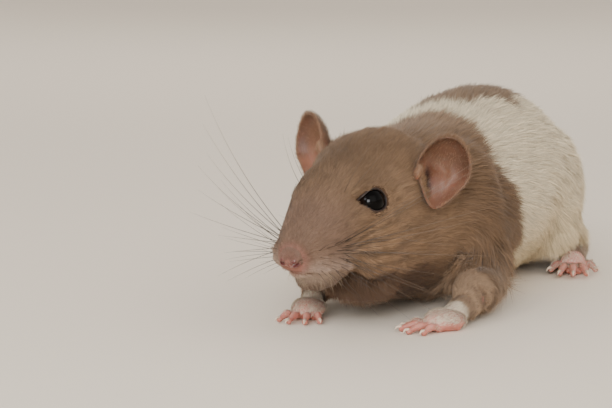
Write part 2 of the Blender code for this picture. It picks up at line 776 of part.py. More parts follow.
def trunk_parts(trunk):
    """The neck, the chest, the belly and the rump."""
    forward = Vector((0, -1, 0))
    neck, rest = parted(trunk, Vector((0, NECK_CUT, 0)), Vector((0, -1, -0.15)))
    chest, rest = parted(rest, Vector((0, CHEST_CUT, 0)), forward)
    belly, rump = parted(rest, Vector((0, RUMP_CUT, 0)), forward)
    return {"neck": neck, "chest": chest, "belly": belly, "rump": rump}


def head_parts(head, skull, neck):
    """The ears, eyes, whisker pads, jaw and nose, and the head and neck that they are cut into."""
    nodes = {}
    eyes = {side: eye_place(head, side) for side in (LEFT, RIGHT)}
    hollows = [ear_hollow(head, side) for side in eyes]
    skull = boolean(skull, "DIFFERENCE", hollows)
    nodes["neck"] = boolean(neck, "DIFFERENCE", hollows)
    around = [grown(skull), grown(nodes["neck"])]
    for side, place in eyes.items():
        nodes[f"ear_{SIDE_NAMES[side]}"] = boolean(ear(head, side), "DIFFERENCE", around)
        ball = ellipsoid(Vector((0, 0, 0)), [EYE_RADIUS] * 3, place, 16, 10)
        nodes[f"eye_{SIDE_NAMES[side]}"] = ball
    skull = boolean(skull, "UNION", [form for place in eyes.values() for form in lid_forms(place)])
    cutters = [cutter for place in eyes.values() for cutter in lid_cutters(place)]
    skull = boolean(skull, "DIFFERENCE", cutters + nose_room(head))
    nodes["nose"] = nose(head)
    for side in eyes:
        pad = boolean(skull, "INTERSECT", [head_ball(head, WHISKER_PAD, side, 0.0, 12, 8)])
        skull = boolean(skull, "DIFFERENCE", [head_ball(head, WHISKER_PAD, side, GAP, 12, 8)])
        nodes[f"whisker_pad_{SIDE_NAMES[side]}"] = boolean(pad, "UNION", whiskers(head, side))
    slope = head @ Matrix.Rotation(JAW_SLOPE, 4, "Y")
    low, high = JAW_BLOCK
    nodes["jaw"] = boolean(skull, "INTERSECT", [block(low, high, slope)])
    room = block(low - Vector((GAP, 0, 0)), high + Vector((0, 0, GAP)), slope)
    nodes["head"] = boolean(skull, "DIFFERENCE", [room])
    return nodes


def material_of(name, materials):
    """Bare skin on the feet, ears, nose and tail, black eyes, brown hood and arms, cream elsewhere."""
    if name.startswith("eye"):
        return materials["black"]
    if "foot" in name or name.startswith(("ear", "nose", "tail")):
        return materials["pink"]
    if name.startswith(("thigh", "belly", "rump")):
        return materials["cream"]
    return materials["brown"]


def build_rat():
    materials = {
        "brown": new_material("coat_brown", COAT_BROWN, 0.8),
        "cream": new_material("coat_cream", COAT_CREAM, 0.8),
        "pink": new_material("bare_skin", SKIN_PINK, 0.55),
        "black": new_material("eye_black", EYE_BLACK, 0.05),
    }
    head = head_place()
    skull, trunk = flesh(head)
    nodes, trunk = feet_and_body(trunk)
    legs, trunk = legs_and_trunk(trunk)
    nodes |= legs | trunk_parts(trunk)
    nodes |= head_parts(head, skull, nodes["neck"])
    for number in range(TAIL_PIECES):
        nodes[f"tail_{number + 1}"] = tail_piece(number)

    rat = new_collection("rat")
    for name, mesh in nodes.items():
        mesh.name = name
        mesh.materials.clear()
        mesh.materials.append(material_of(name, materials))
        rat.objects.link(bpy.data.objects.new(name, mesh))
    centre_on_floor(rat.objects)


def centre_on_floor(objects):
    """Moves every piece alike, so that the origin is under the middle of the whole rat."""
    points = [vert.co for obj in objects for vert in obj.data.vertices]
    low = Vector([min(point[axis] for point in points) for axis in range(3)])
    high = Vector([max(point[axis] for point in points) for axis in range(3)])
    middle = (low + high) / 2
    for obj in objects:
        obj.location = (-middle.x, -middle.y, -low.z)
        obj.data.shade_smooth()


clear_scene()
build_rat()
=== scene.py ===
# %% [markdown]
# # A life-size hooded rat
#
# This lesson dresses a plain solid model of a pet rat until it looks alive. The solids say where
# everything is. Each step below takes one thing that the eye sees on a real rat, says how it could
# be modelled, and makes it: first the skin, then the bare parts that show through the coat, then
# the coat itself, hair by hair, and last the light and the camera.

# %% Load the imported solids
import math

import bmesh
import bpy
import numpy as np
from mathutils import Matrix, Vector, kdtree
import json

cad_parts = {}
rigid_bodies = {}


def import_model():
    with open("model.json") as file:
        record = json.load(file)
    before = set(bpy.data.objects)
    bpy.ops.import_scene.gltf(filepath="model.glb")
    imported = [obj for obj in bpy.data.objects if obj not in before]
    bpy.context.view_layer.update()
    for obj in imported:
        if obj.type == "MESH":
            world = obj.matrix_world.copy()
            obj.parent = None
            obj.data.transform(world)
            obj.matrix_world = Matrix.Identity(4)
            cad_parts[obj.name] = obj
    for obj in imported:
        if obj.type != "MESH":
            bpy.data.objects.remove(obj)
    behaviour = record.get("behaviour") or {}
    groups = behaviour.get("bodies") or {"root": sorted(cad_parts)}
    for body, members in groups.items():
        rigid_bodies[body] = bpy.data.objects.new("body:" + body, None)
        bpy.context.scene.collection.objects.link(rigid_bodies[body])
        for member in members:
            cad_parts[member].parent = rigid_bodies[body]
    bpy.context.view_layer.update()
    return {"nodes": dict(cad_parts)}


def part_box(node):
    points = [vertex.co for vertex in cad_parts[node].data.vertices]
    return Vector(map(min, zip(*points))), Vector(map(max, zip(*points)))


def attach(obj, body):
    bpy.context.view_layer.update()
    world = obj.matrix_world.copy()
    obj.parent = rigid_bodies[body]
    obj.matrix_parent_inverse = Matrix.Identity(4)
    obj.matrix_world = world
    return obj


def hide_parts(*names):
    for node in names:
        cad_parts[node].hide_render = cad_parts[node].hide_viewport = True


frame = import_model()
nodes = frame["nodes"]

# %% [markdown]
# ## Units and small tools
#
# Blender works in metres, and a rat is easier to describe in millimetres, so one constant turns one
# into the other. Every new mesh goes through the same three small functions: one that makes an
# object of it, one that applies modifiers to it, and one that edits it as a bmesh.

# %% Tools for meshes
MM = 0.001
WELD = 0.0005 * MM
LEFT, RIGHT = 1, -1
SIDES = {LEFT: "left", RIGHT: "right"}


def new_piece(name, mesh, material, stands_for=()):
    """A visible piece that rides on the rat, in the given material and in place of solids."""
    piece = bpy.data.objects.new(name, mesh)
    bpy.context.scene.collection.objects.link(piece)
    mesh.materials.clear()
    mesh.materials.append(material)
    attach(piece, "root")
    if stands_for:
        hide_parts(*stands_for)
    print(f"{name}: {len(mesh.polygons)} faces")
    return piece


def with_modifiers(mesh, *steps):
    """The mesh after modifiers, each given as (kind, {setting: value})."""
    work = bpy.data.objects.new("work", mesh)
    bpy.context.scene.collection.objects.link(work)
    for kind, values in steps:
        modifier = work.modifiers.new(kind, kind)
        for key, value in values.items():
            setattr(modifier, key, value)
    graph = bpy.context.evaluated_depsgraph_get()
    made = bpy.data.meshes.new_from_object(work.evaluated_get(graph))
    bpy.data.objects.remove(work)
    return made


def edited(mesh, edit):
    """The mesh after edit(bm), smooth and with its faces out."""
    bm = bmesh.new()
    bm.from_mesh(mesh)
    edit(bm)
    bmesh.ops.remove_doubles(bm, verts=bm.verts, dist=WELD)
    bmesh.ops.recalc_face_normals(bm, faces=bm.faces)
    made = bpy.data.meshes.new("form")
    bm.to_mesh(made)
    bm.free()
    made.shade_smooth()
    return made


def made_by(build):
    return edited(bpy.data.meshes.new("empty"), build)


def joined(meshes):
    """Several meshes in one, as they are."""
    bm = bmesh.new()
    for mesh in meshes:
        bm.from_mesh(mesh)
    made = bpy.data.meshes.new("joined")
    bm.to_mesh(made)
    bm.free()
    return made


def moulded(forms, voxel, passes):
    """One smooth closed surface over closed forms that overlap."""
    made = with_modifiers(
        joined(forms),
        ("REMESH", {"mode": "VOXEL", "voxel_size": voxel}),
        ("SMOOTH", {"factor": 0.5, "iterations": passes}),
    )
    made.shade_smooth()
    return made


def ball(centre, radii, place, around=24, rows=16):
    """A closed ellipsoid whose centre and half sizes are millimetres in a frame."""
    size = Matrix.Diagonal((*(Vector(radii) * MM), 1.0))
    matrix = place @ Matrix.Translation(Vector(centre) * MM) @ size
    return made_by(
        lambda bm: bmesh.ops.create_uvsphere(
            bm, u_segments=around, v_segments=rows, radius=1.0, matrix=matrix
        )
    )


def tubes(paths, bevel_resolution=2):
    """Round tubes along smooth paths, each a list of (point, radius)."""
    curve = bpy.data.curves.new("tubes", "CURVE")
    curve.dimensions = "3D"
    curve.bevel_depth = 1.0
    curve.bevel_resolution = bevel_resolution
    curve.use_fill_caps = True
    for path in paths:
        spline = curve.splines.new("POLY")
        spline.points.add(len(path) - 1)
        for knot, (point, radius) in zip(spline.points, path):
            knot.co = (*point, 1.0)
            knot.radius = radius
    work = bpy.data.objects.new("work", curve)
    bpy.context.scene.collection.objects.link(work)
    graph = bpy.context.evaluated_depsgraph_get()
    mesh = bpy.data.meshes.new_from_object(work.evaluated_get(graph))
    bpy.data.objects.remove(work)
    return edited(mesh, lambda bm: None)


def smooth_path(knots, steps):
    """A finer path on one smooth curve through (point, radius) knots."""
    rows = np.array([(*point, radius) for point, radius in knots], float)
    rows = np.vstack([2 * rows[0] - rows[1], rows, 2 * rows[-1] - rows[-2]])
    path = []
    for a, b, c, d in zip(rows, rows[1:], rows[2:], rows[3:]):
        for t in np.arange(steps) / steps:
            bend = 2 * a - 5 * b + 4 * c - d + t * (3 * (b - c) + d - a)
            path.append(b + 0.5 * t * (c - a + t * bend))
    path.append(rows[-2])
    return [(Vector(row[:3]), row[3]) for row in path]


# %% [markdown]
# ## Tools for numbers
#
# A coat has several hundred thousand hairs, so what is worked out for each hair is worked out for
# all at once, with numpy. `soft_noise` gives the slow, cloudy variation that real coats have, and
# `fade` is the usual soft step from 0 to 1.

# %% Tools for numbers
def fade(values, start, end):
    """0 before start, 1 after end, and a soft step between them."""
    t = np.clip((values - start) / (end - start), 0.0, 1.0)
    return t * t * (3 - 2 * t)


def ridge(values, middle, half):
    """1 at the middle, falling to about a third at a half width from it."""
    return np.exp(-(((values - middle) / half) ** 2))


def soft_noise(points, size, seed=0):
    """Smooth numbers from about -1 to 1 over space, with bumps about as wide as size."""
    lattice = np.random.default_rng(seed).uniform(-1, 1, (32, 32, 32))
    cell = np.asarray(points) / size
    base = np.floor(cell).astype(int)
    t = cell - base
    t = t * t * (3 - 2 * t)
    total = np.zeros(len(cell))
    for corner in np.ndindex(2, 2, 2):
        x, y, z = ((base + corner) % 32).T
        total += np.prod(np.where(corner, t, 1 - t), axis=1) * lattice[x, y, z]
    return total


def unit(vectors):
    length = np.linalg.norm(vectors, axis=-1, keepdims=True)
    return vectors / np.maximum(length, 1e-9)


def coordinates(mesh):
    points = np.empty(3 * len(mesh.vertices))
    mesh.vertices.foreach_get("co", points)
    return points.reshape(-1, 3)


def normals_of(mesh):
    normals = np.empty(3 * len(mesh.vertices))
    mesh.vertex_normals.foreach_get("vector", normals)
    return normals.reshape(-1, 3)


def edges_of(mesh):
    ends = np.empty(2 * len(mesh.edges), int)
    mesh.edges.foreach_get("vertices", ends)
    return ends.reshape(-1, 2).T


def sum_around(values, edges):
    """For each point of a mesh, the sum of the values at its neighbours."""
    near, far = edges
    around = np.empty_like(values)
    for axis in range(values.shape[1]):
        around[:, axis] = np.bincount(near, values[far, axis], len(values))
        around[:, axis] += np.bincount(far, values[near, axis], len(values))
    return around


def move_points(mesh, points):
    mesh.vertices.foreach_set("co", np.ascontiguousarray(points, float).ravel())
    mesh.update()


def linear(code):
    """An sRGB hex colour as linear numbers."""
    channels = np.array([int(code[i : i + 2], 16) / 255 for i in (1, 3, 5)])
    return np.where(channels <= 0.04045, channels / 12.92, ((channels + 0.055) / 1.055) ** 2.4)


def mixed(a, b, share):
    """Colours between a and b, with one share for each point."""
    share = np.asarray(share)[:, None]
    return a * (1 - share) + b * share


def layered(colours, *layers):
    """A colour with others laid over it in turn, each with its share at each point."""
    for over, share in layers:
        colours = mixed(colours, over, share)
    return colours


def paint(mesh, colours):
    """Keeps one linear colour at each point, under the name that the materials read."""
    tint = mesh.color_attributes.new(name="tint", type="FLOAT_COLOR", domain="POINT")
    rgba = np.hstack([np.clip(colours, 0, 1), np.ones((len(colours), 1))])
    tint.data.foreach_set("color", rgba.ravel())


# %% [markdown]
# ## Where the head is
#
# The rat's head is turned a little to its right, dipped and tilted, so everything on it is placed
# in the head's own frame: X forward, Y to the rat's left, Z up, in millimetres from a point midway
# between the eyes. The eye solids say where that frame is. The body's own frame runs along Y, and
# its places are those of the design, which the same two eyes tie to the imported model.

# %% The head's frame and the body's
HEAD_TURN, HEAD_DIP, HEAD_TILT = (math.radians(degrees) for degrees in (9.0, 12.0, 6.0))
HEAD_CENTRE = Vector((-1.5, -84.0, 33.0)) * MM
EYE_CENTRE = Vector((-2.5, 7.9, 0.1))
EYE_RADIUS = 4.0
NOSE_CENTRE = Vector((21.0, 0.0, -7.2))
EAR_CENTRE = {LEFT: Vector((-20.9, 19.2, 3.8)), RIGHT: Vector((-21.3, -19.1, 4.8))}


def middle_of(node):
    low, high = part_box(node)
    return (low + high) / 2


facing = Matrix.Rotation(-math.pi / 2 - HEAD_TURN, 4, "Z")
facing = facing @ Matrix.Rotation(HEAD_DIP, 4, "Y") @ Matrix.Rotation(-HEAD_TILT, 4, "X")
between_eyes = (middle_of("eye_left") + middle_of("eye_right")) / 2
eye_rise = Vector((EYE_CENTRE.x, 0, EYE_CENTRE.z)) * MM
head = Matrix.Translation(between_eyes - facing.to_3x3() @ eye_rise) @ facing
body = Matrix.Translation(head.translation - HEAD_CENTRE)


def inside(place, points):
    """Points given in metres, in millimetres of a frame."""
    turn = np.array(place.to_3x3())
    return (points - np.array(place.translation)) @ turn / MM


def outside(place, points):
    """Points given in millimetres of a frame, in metres."""
    return points * MM @ np.array(place.to_3x3()).T + np.array(place.translation)


def way_in(place, direction):
    """A direction given in a frame, as the world sees it."""
    return np.array(place.to_3x3()) @ direction


def distance_to(points, centre):
    return np.linalg.norm(points - np.array(centre), axis=-1)


def nearness(points, centre, inner, outer):
    """1 within the inner distance of a centre, and 0 beyond the outer one."""
    return 1 - fade(distance_to(points, centre), inner, outer)


def sided(point, side):
    """A place on the left side, or its mirror image on the right."""
    return Vector((point[0], point[1] * side, point[2]))


def body_point(point, side=LEFT):
    """A place on the body in metres, from millimetres on its left side."""
    return body @ (Vector((point[0] * side, point[1], point[2])) * MM)


def frame_from(centre, axis, along):
    """A frame in the head, in millimetres: Z is the axis and X leans along the other direction."""
    z = Vector(axis).normalized()
    x = (Vector(along) - z * Vector(along).dot(z)).normalized()
    turn = Matrix((x, z.cross(x), z)).transposed().to_4x4()
    return head @ Matrix.Translation(Vector(centre) * MM) @ turn


print("head at", [round(1000 * c, 1) for c in head.translation], "mm")

# %% [markdown]
# ## Materials
#
# Every finish here is a real one: keratin, wet cornea, bare skin, and fur. Fur is painted hair by
# hair, so its material only reads that paint and adds the soft, low gloss of dry hair. One small
# function adds a node with its settings and links, and the constants go straight onto the shader.

# %% Tools for materials
def new_material(name, values):
    """A Principled material with constants on its own sockets."""
    material = bpy.data.materials.new(name)
    material.use_nodes = True
    shader = material.node_tree.nodes["Principled BSDF"]
    for socket, value in values.items():
        shader.inputs[socket].default_value = value
    return material


def add(material, kind, values, **settings):
    """Adds a node. Each value goes to a socket, as a number or as a link from another output."""
    node = material.node_tree.nodes.new(kind)
    for key, value in settings.items():
        setattr(node, key, value)
    for socket, value in values.items():
        if isinstance(value, bpy.types.NodeSocket):
            material.node_tree.links.new(value, node.inputs[socket])
        else:
            node.inputs[socket].default_value = value
    return node


def to_shader(material, socket, output):
    shader = material.node_tree.nodes["Principled BSDF"]
    material.node_tree.links.new(output, shader.inputs[socket])


def painted(material):
    """The material's colour comes from the paint on the mesh."""
    tint = add(material, "ShaderNodeAttribute", {}, attribute_name="tint")
    to_shader(material, "Base Color", tint.outputs["Color"])


def bumped(material, height, distance, strength):
    bump = add(material, "ShaderNodeBump", {"Height": height, "Distance": distance, "Strength": strength})
    to_shader(material, "Normal", bump.outputs["Normal"])


# %% Fur, skin, cornea, claw and whisker
# Dry hair scatters most of its light. Its cuticle gives a wide, weak highlight and a soft edge.
fur = new_material("dry_fur", {"Roughness": 0.62, "Specular IOR Level": 0.28, "Sheen Weight": 0.12})
painted(fur)

# The undercoat is what shows between the hairs: the same colours with a fine, felted bump.
UNDERCOAT_FIBRE = 0.35 * MM
undercoat = new_material("felted_undercoat", {"Roughness": 0.85, "Specular IOR Level": 0.15})
painted(undercoat)
place = add(undercoat, "ShaderNodeTexCoord", {})
felt = add(
    undercoat,
    "ShaderNodeTexNoise",
    {"Vector": place.outputs["Object"], "Scale": 1 / UNDERCOAT_FIBRE, "Detail": 4.0},
)
bumped(undercoat, felt.outputs["Fac"], 0.15 * MM, 0.6)

# Living skin lets red light through, so thin parts glow, and it has fine creases half a millimetre
# wide that break up its gloss.
SKIN_CREASE = 0.5 * MM


def living_skin(name, roughness, glow, gloss):
    made = new_material(
        name,
        {
            "Roughness": roughness,
            "Specular IOR Level": gloss,
            "Subsurface Weight": glow,
            "Subsurface Radius": (1.0, 0.35, 0.2),
            "Subsurface Scale": 1.2 * MM,
        },
    )
    painted(made)
    spot = add(made, "ShaderNodeTexCoord", {})
    creases = add(
        made,
        "ShaderNodeTexVoronoi",
        {"Vector": spot.outputs["Object"], "Scale": 1 / SKIN_CREASE},
        feature="DISTANCE_TO_EDGE",
    )
    bumped(made, creases.outputs["Distance"], 0.06 * MM, 0.5)
    return made


bare_skin = living_skin("bare_pink_skin", 0.5, 0.35, 0.4)
nose_skin = living_skin("moist_nose_skin", 0.34, 0.3, 0.5)
ear_skin = living_skin("thin_ear_skin", 0.5, 0.5, 0.35)

# The cornea is wet, so it has nearly no roughness and tears' index of refraction, over black.
cornea = new_material(
    "wet_black_eye", {"Roughness": 0.04, "IOR": 1.376, "Specular IOR Level": 0.14}
)
painted(cornea)

# Claws and whiskers are bare keratin, smooth and a little glossy.
claw_horn = new_material("claw_keratin", {"Roughness": 0.3, "Specular IOR Level": 0.5})
painted(claw_horn)
whisker_hair = new_material("whisker_keratin", {"Roughness": 0.38, "Specular IOR Level": 0.5})
painted(whisker_hair)
print("materials:", len(bpy.data.materials))

# %% [markdown]
# ## The camera
#
# The photograph's view comes first, so that every later step can be looked at through it. Its
# distance, height and length of lens were found by fitting the eye, the ears and the nose, and a
# small shift keeps the head where the picture has it.

# %% The camera
CAMERA_AZIMUTH, CAMERA_ELEVATION = math.radians(20.0), math.radians(6.0)
CAMERA_DISTANCE = 0.420
FOCAL_PIXELS = 1726.0
PHOTO_WIDTH, PHOTO_HEIGHT = 612, 408
HEAD_PIXEL = (335, 201)

camera_data = bpy.data.cameras.new("camera")
camera_data.sensor_width = 36.0
camera_data.lens = FOCAL_PIXELS * camera_data.sensor_width / PHOTO_WIDTH
camera_data.shift_x = (PHOTO_WIDTH / 2 - HEAD_PIXEL[0]) / PHOTO_WIDTH
camera_data.shift_y = (HEAD_PIXEL[1] - PHOTO_HEIGHT / 2) / PHOTO_WIDTH
camera_data.clip_start = 0.02
camera = bpy.data.objects.new("camera", camera_data)
towards_camera = Vector(
    (
        math.sin(CAMERA_AZIMUTH) * math.cos(CAMERA_ELEVATION),
        -math.cos(CAMERA_AZIMUTH) * math.cos(CAMERA_ELEVATION),
        math.sin(CAMERA_ELEVATION),
    )
)
camera.location = head.translation + towards_camera * CAMERA_DISTANCE
camera.rotation_mode = "QUATERNION"
camera.rotation_quaternion = (-towards_camera).to_track_quat("-Z", "Y")
bpy.context.scene.collection.objects.link(camera)
bpy.context.scene.camera = camera
print("lens:", round(camera_data.lens, 1), "mm")

# %% [markdown]
# ## One skin
#
# The solids are the rat out to the tips of its coat, cut into parts with hairline gaps. The skin
# under the coat is one surface. It could be modelled again from nothing, but then it would drift
# from the solids. So copies of the flesh solids are swollen until the gaps close, fused by a voxel
# remesh, smoothed, and drawn in by the depth of the coat.

# %% Copies of the flesh
SKIN_VOXEL, SKIN_PASSES = 0.8 * MM, 8
SWELL = 0.2 * MM
FLESH = ["head", "jaw", "neck", "chest", "belly", "rump"]
for side_name in SIDES.values():
    FLESH += [part + side_name for part in ("upper_arm_", "forearm_", "thigh_", "whisker_pad_")]
# The middle and the half sizes of the left whisker pad. Just outside it the whiskers are cut off.
WHISKER_PAD = ((13.2, 7.6, -8.9), (7.2, 5.2, 4.3))
WHISKER_CUT = 1.12


def swollen_copy(node):
    """A copy of a solid, a little swollen. A whisker pad is copied without its whiskers."""

    def edit(bm):
        bmesh.ops.remove_doubles(bm, verts=bm.verts, dist=WELD)
        if node.startswith("whisker_pad"):
            side = LEFT if node.endswith("left") else RIGHT
            centre, size = WHISKER_PAD
            points = inside(head, np.array([vert.co for vert in bm.verts]))
            reach = (points - np.array(sided(centre, side))) / np.array(size)
            beyond = np.linalg.norm(reach, axis=1) > WHISKER_CUT
            loose = [vert for vert, out in zip(bm.verts, beyond) if out]
            bmesh.ops.delete(bm, geom=loose, context="VERTS")
            bmesh.ops.holes_fill(bm, edges=[e for e in bm.edges if e.is_boundary], sides=0)
        bm.normal_update()
        for vert in bm.verts:
            vert.co += vert.normal * SWELL

    return edited(nodes[node].data, edit)


flesh = [swollen_copy(node) for node in FLESH]
print("flesh solids:", len(flesh))

# %% [markdown]
# A few plain forms are fused with them, where the skin runs out into parts that are modelled on
# their own: a ball round each eye and in the nose, a taper from each arm to its hand, and a collar
# from the rump to the tail.

# %% Forms that join the parts, and the fused skin
PALM = {LEFT: (22.0, -69, 2.6), RIGHT: (-16.0, -64, 2.6)}
WRIST = {LEFT: (25.0, -62, 4.9), RIGHT: (-17.0, -57, 5.4)}
ELBOW = {LEFT: (24.0, -38, 12), RIGHT: (-20.5, -36, 12)}
TAIL_ROOT = (0.0, 93.0, 12.0)
# Shares of the way from the wrist to the elbow, and the arm's radius there.
WRIST_TAPER = ((0.45, 6.6), (0.25, 5.6), (0.08, 4.4), (-0.03, 3.7))
TAIL_COLLAR = (((0, 84, 14.5), 11.0), ((0, 90.5, 12.8), 8.8), ((0, 96, 11.9), 6.5), ((0, 102, 10.8), 4.9))
LID_THICKNESS = 0.35
NOSE_RADII = (2.5, 2.7, 2.4)


def limb(stations, side=LEFT, steps=4):
    """A round tube on one smooth path through (place on the body, radius) in millimetres."""
    path = [(body_point(spot, side), radius * MM) for spot, radius in stations]
    return tubes([smooth_path(path, steps)], 5)


def keep_largest(bm):
    """Deletes every loose part but the largest."""
    parts, seen = [], set()
    for start in bm.verts:
        if start in seen:
            continue
        part, edge = {start}, [start]
        while edge:
            found = {e.other_vert(vert) for vert in edge for e in vert.link_edges} - part
            part |= found
            edge = list(found)
        seen |= part
        parts.append(part)
    parts.sort(key=len)
    loose = [vert for part in parts[:-1] for vert in part]
    print("loose points deleted:", len(loose))
    bmesh.ops.delete(bm, geom=loose, context="VERTS")


for side in SIDES:
    flesh.append(ball(sided(EYE_CENTRE, side), [EYE_RADIUS + LID_THICKNESS] * 3, head))
    wrist, elbow = Vector(WRIST[side]), Vector(ELBOW[side])
    flesh.append(limb([(wrist.lerp(elbow, share), radius) for share, radius in WRIST_TAPER]))
flesh.append(ball(NOSE_CENTRE, NOSE_RADII, head))
flesh.append(limb(TAIL_COLLAR))
skin_mesh = edited(moulded(flesh, SKIN_VOXEL, SKIN_PASSES), keep_largest)
print("skin:", len(skin_mesh.polygons), "faces")

# %% [markdown]
# The muzzle needs finer faces than the back, because the lips and the edge of the nose are only a
# millimetre across, so its edges are split once more before anything is shaped there.

# %% Finer faces on the muzzle
MUZZLE_START, MUZZLE_UNDERSIDE, MUZZLE_HALF_WIDTH = 2.0, -24.0, 14.0


def refine_muzzle(bm):
    ahead, across, up = inside(head, np.array([vert.co for vert in bm.verts])).T
    front = (ahead > MUZZLE_START) & (up > MUZZLE_UNDERSIDE) & (np.abs(across) < MUZZLE_HALF_WIDTH)
    chosen = [edge for edge in bm.edges if all(front[vert.index] for vert in edge.verts)]
    bmesh.ops.subdivide_edges(bm, edges=chosen, cuts=1, use_grid_fill=True)
    bmesh.ops.triangulate(bm, faces=[face for face in bm.faces if len(face.verts) > 4])


skin_mesh = edited(skin_mesh, refine_muzzle)
print("skin with a finer muzzle:", len(skin_mesh.polygons), "faces")

# %% [markdown]
# Where the head meets the neck the solids leave a fold that a live rat's loose skin would cover. So
# the nape and the throat are relaxed: each point there moves towards the middle of its neighbours,
# all the way where that fills a fold, and a little where it would flatten a bulge. The whisker pads
# and the brow over the far eye get a slight swelling, because they are plump and catch the light.

# %% A smooth nape and plump pads
NAPE_PASSES = 110
FOLD_FILL, BULGE_LOSS = 1.0, 0.25
# Each swelling's middle, its half widths and how far it rises, in the head's frame.
PLUMP = (
    ((13.0, 8.6, -9.0), (5.6, 5.0, 3.6), 0.55),
    ((13.0, -8.6, -9.0), (5.6, 5.0, 3.6), 0.55),
    ((4.5, -6.4, 2.0), (5.0, 3.4, 4.0), 0.9),
)


def relaxed(mesh, share, passes):
    edges = edges_of(mesh)
    points = coordinates(mesh)
    count = sum_around(np.ones((len(points), 1)), edges)
    for _ in range(passes):
        points += share[:, None] * (sum_around(points, edges) / count - points)
    return points


points, normals = coordinates(skin_mesh), normals_of(skin_mesh)
behind_ears = inside(head, points)[:, 0]
nape = fade(behind_ears, -68.0, -50.0) * fade(behind_ears, -10.0, -24.0)
moved = np.sum((relaxed(skin_mesh, 0.6 * nape, NAPE_PASSES) - points) * normals, axis=1)
points += normals * (moved * np.where(moved > 0, FOLD_FILL, BULGE_LOSS))[:, None]
plump = np.zeros(len(points))
for centre, size, swell in PLUMP:
    reach = (inside(head, points) - np.array(centre)) / np.array(size)
    plump += swell * np.exp(-np.sum(reach**2, axis=1))
move_points(skin_mesh, points + normals * plump[:, None] * MM)
print("nape moved by up to", round(np.abs(moved).max() / MM, 1), "mm")

# %% [markdown]
# ## How deep the coat is
#
# The coat is about two and a half millimetres deep on the body and one on the head. It thins towards
# the feet and the tail, and runs out to nothing at the nose and the lids. This one function gives
# the depth anywhere. The skin is drawn in by it, and the hairs take their lengths from it.

# %% The depth of the coat, and the skin drawn in
BODY_DEPTH, HEAD_DEPTH, MUZZLE_DEPTH, BARE_DEPTH = 2.4, 1.15, 0.5, 0.1
LID_DEPTH, WRIST_DEPTH, FOOT_DEPTH, TAIL_DEPTH = 0.2, 0.7, 0.9, 0.5
HEEL = (25.5, 66, 4.6)
TOES = (32.0, 35.0, 2.2)


def coat_depth(points):
    """Millimetres of coat over the skin at points given in metres."""
    at_head, at_body = inside(head, points), inside(body, points)
    ahead = at_head[:, 0]
    regions = [
        (HEAD_DEPTH, fade(ahead, -44.0, -22.0)),
        (MUZZLE_DEPTH, fade(ahead, 0.0, 15.0)),
        (BARE_DEPTH, fade(ahead, 15.0, 22.0)),
    ]
    for side in SIDES:
        regions.append((LID_DEPTH, nearness(at_head, sided(EYE_CENTRE, side), 4.6, 9.0)))
        regions.append((WRIST_DEPTH, nearness(at_body, WRIST[side], 4.0, 22.0)))
        for x, y, z in (HEEL, TOES):
            regions.append((FOOT_DEPTH, nearness(at_body, (x * side, y, z), 5.0, 18.0)))
    regions.append((TAIL_DEPTH, nearness(at_body, TAIL_ROOT, 5.0, 16.0)))
    depth = np.full(len(points), BODY_DEPTH)
    for here, share in regions:
        depth += (here - depth) * share
    return depth


skin_points = coordinates(skin_mesh)
depths = coat_depth(skin_points)
skin_points -= normals_of(skin_mesh) * (depths * MM + SWELL)[:, None]
move_points(skin_mesh, skin_points)
print("coat from", round(depths.min(), 2), "to", round(depths.max(), 2), "mm deep")

# %% [markdown]
# ## Mouth and eye openings
#
# A rat's upper lips hang over the mouth as two soft pads, and the mouth is a crease that runs back
# from under the nose. It is pressed into the skin along a line in the head's frame.

# %% Press in the mouth
MOUTH_SLOPE, MOUTH_HEIGHT = 0.156, -14.8
CREASE_DEPTH, CREASE_HALF = 0.75, 0.5
LIP_SWELL, LIP_RISE, LIP_HALF = 0.22, 1.5, 0.8


def above_mouth(at_head):
    """Millimetres above the crease of the mouth."""
    return at_head[:, 2] - (MOUTH_HEIGHT + MOUTH_SLOPE * at_head[:, 0])


skin_points = coordinates(skin_mesh)
at_head = inside(head, skin_points)
above = above_mouth(at_head)
groove = CREASE_DEPTH * ridge(above, 0, CREASE_HALF) - LIP_SWELL * ridge(above, LIP_RISE, LIP_HALF)
groove *= fade(at_head[:, 0], 4.0, 9.0)
skin_points -= normals_of(skin_mesh) * (groove * MM)[:, None]
print("mouth pressed in by", round(groove.max(), 2), "mm")

# %% [markdown]
# The skin under each eye opening is pressed in behind the eyeball, so that the ball shows and the
# skin stays whole. Round the opening it may rise only gently. The far eye's bank is steeper, because
# the brow hides that eye from the camera.

# %% Press in the eye openings
LID_LENGTH, LID_HEIGHT, LID_CORNER = 3.3, 2.55, 0.6
EYE_AXIS = {LEFT: (0.42, 0.80, 0.46), RIGHT: (0.27, -0.87, 0.42)}
EYE_FRONT = (0.90, -0.20, 0.26)
SOCKET_RISE, SOCKET_REACH, SOCKET_BACK = 0.15, 5.5, 0.7
SOCKET_SLOPE = {LEFT: 0.42, RIGHT: 0.85}


def eye_place(side):
    """The eye's frame: Z out of the socket, X towards the corner near the nose."""
    return frame_from(sided(EYE_CENTRE, side), EYE_AXIS[side], sided(EYE_FRONT, side))


def lid_edge(angle):
    """The opening between the lids, round behind and pointed in front, in millimetres."""
    forward = np.maximum(0.0, np.cos(angle))
    along = LID_LENGTH * np.cos(angle) + LID_CORNER * forward**3
    up = LID_HEIGHT * np.sin(angle) * (1 - 0.45 * forward**2)
    return along, up


def around_eye(points, side):
    """Places in the eye's frame, how far out each one is, and how far out the lids' edge is there."""
    at_eye = inside(eye_place(side), points)
    angle = np.arctan2(at_eye[:, 1] / LID_HEIGHT, at_eye[:, 0] / LID_LENGTH)
    edge = np.hypot(*lid_edge(angle))
    return at_eye, np.hypot(at_eye[:, 0], at_eye[:, 1]), edge


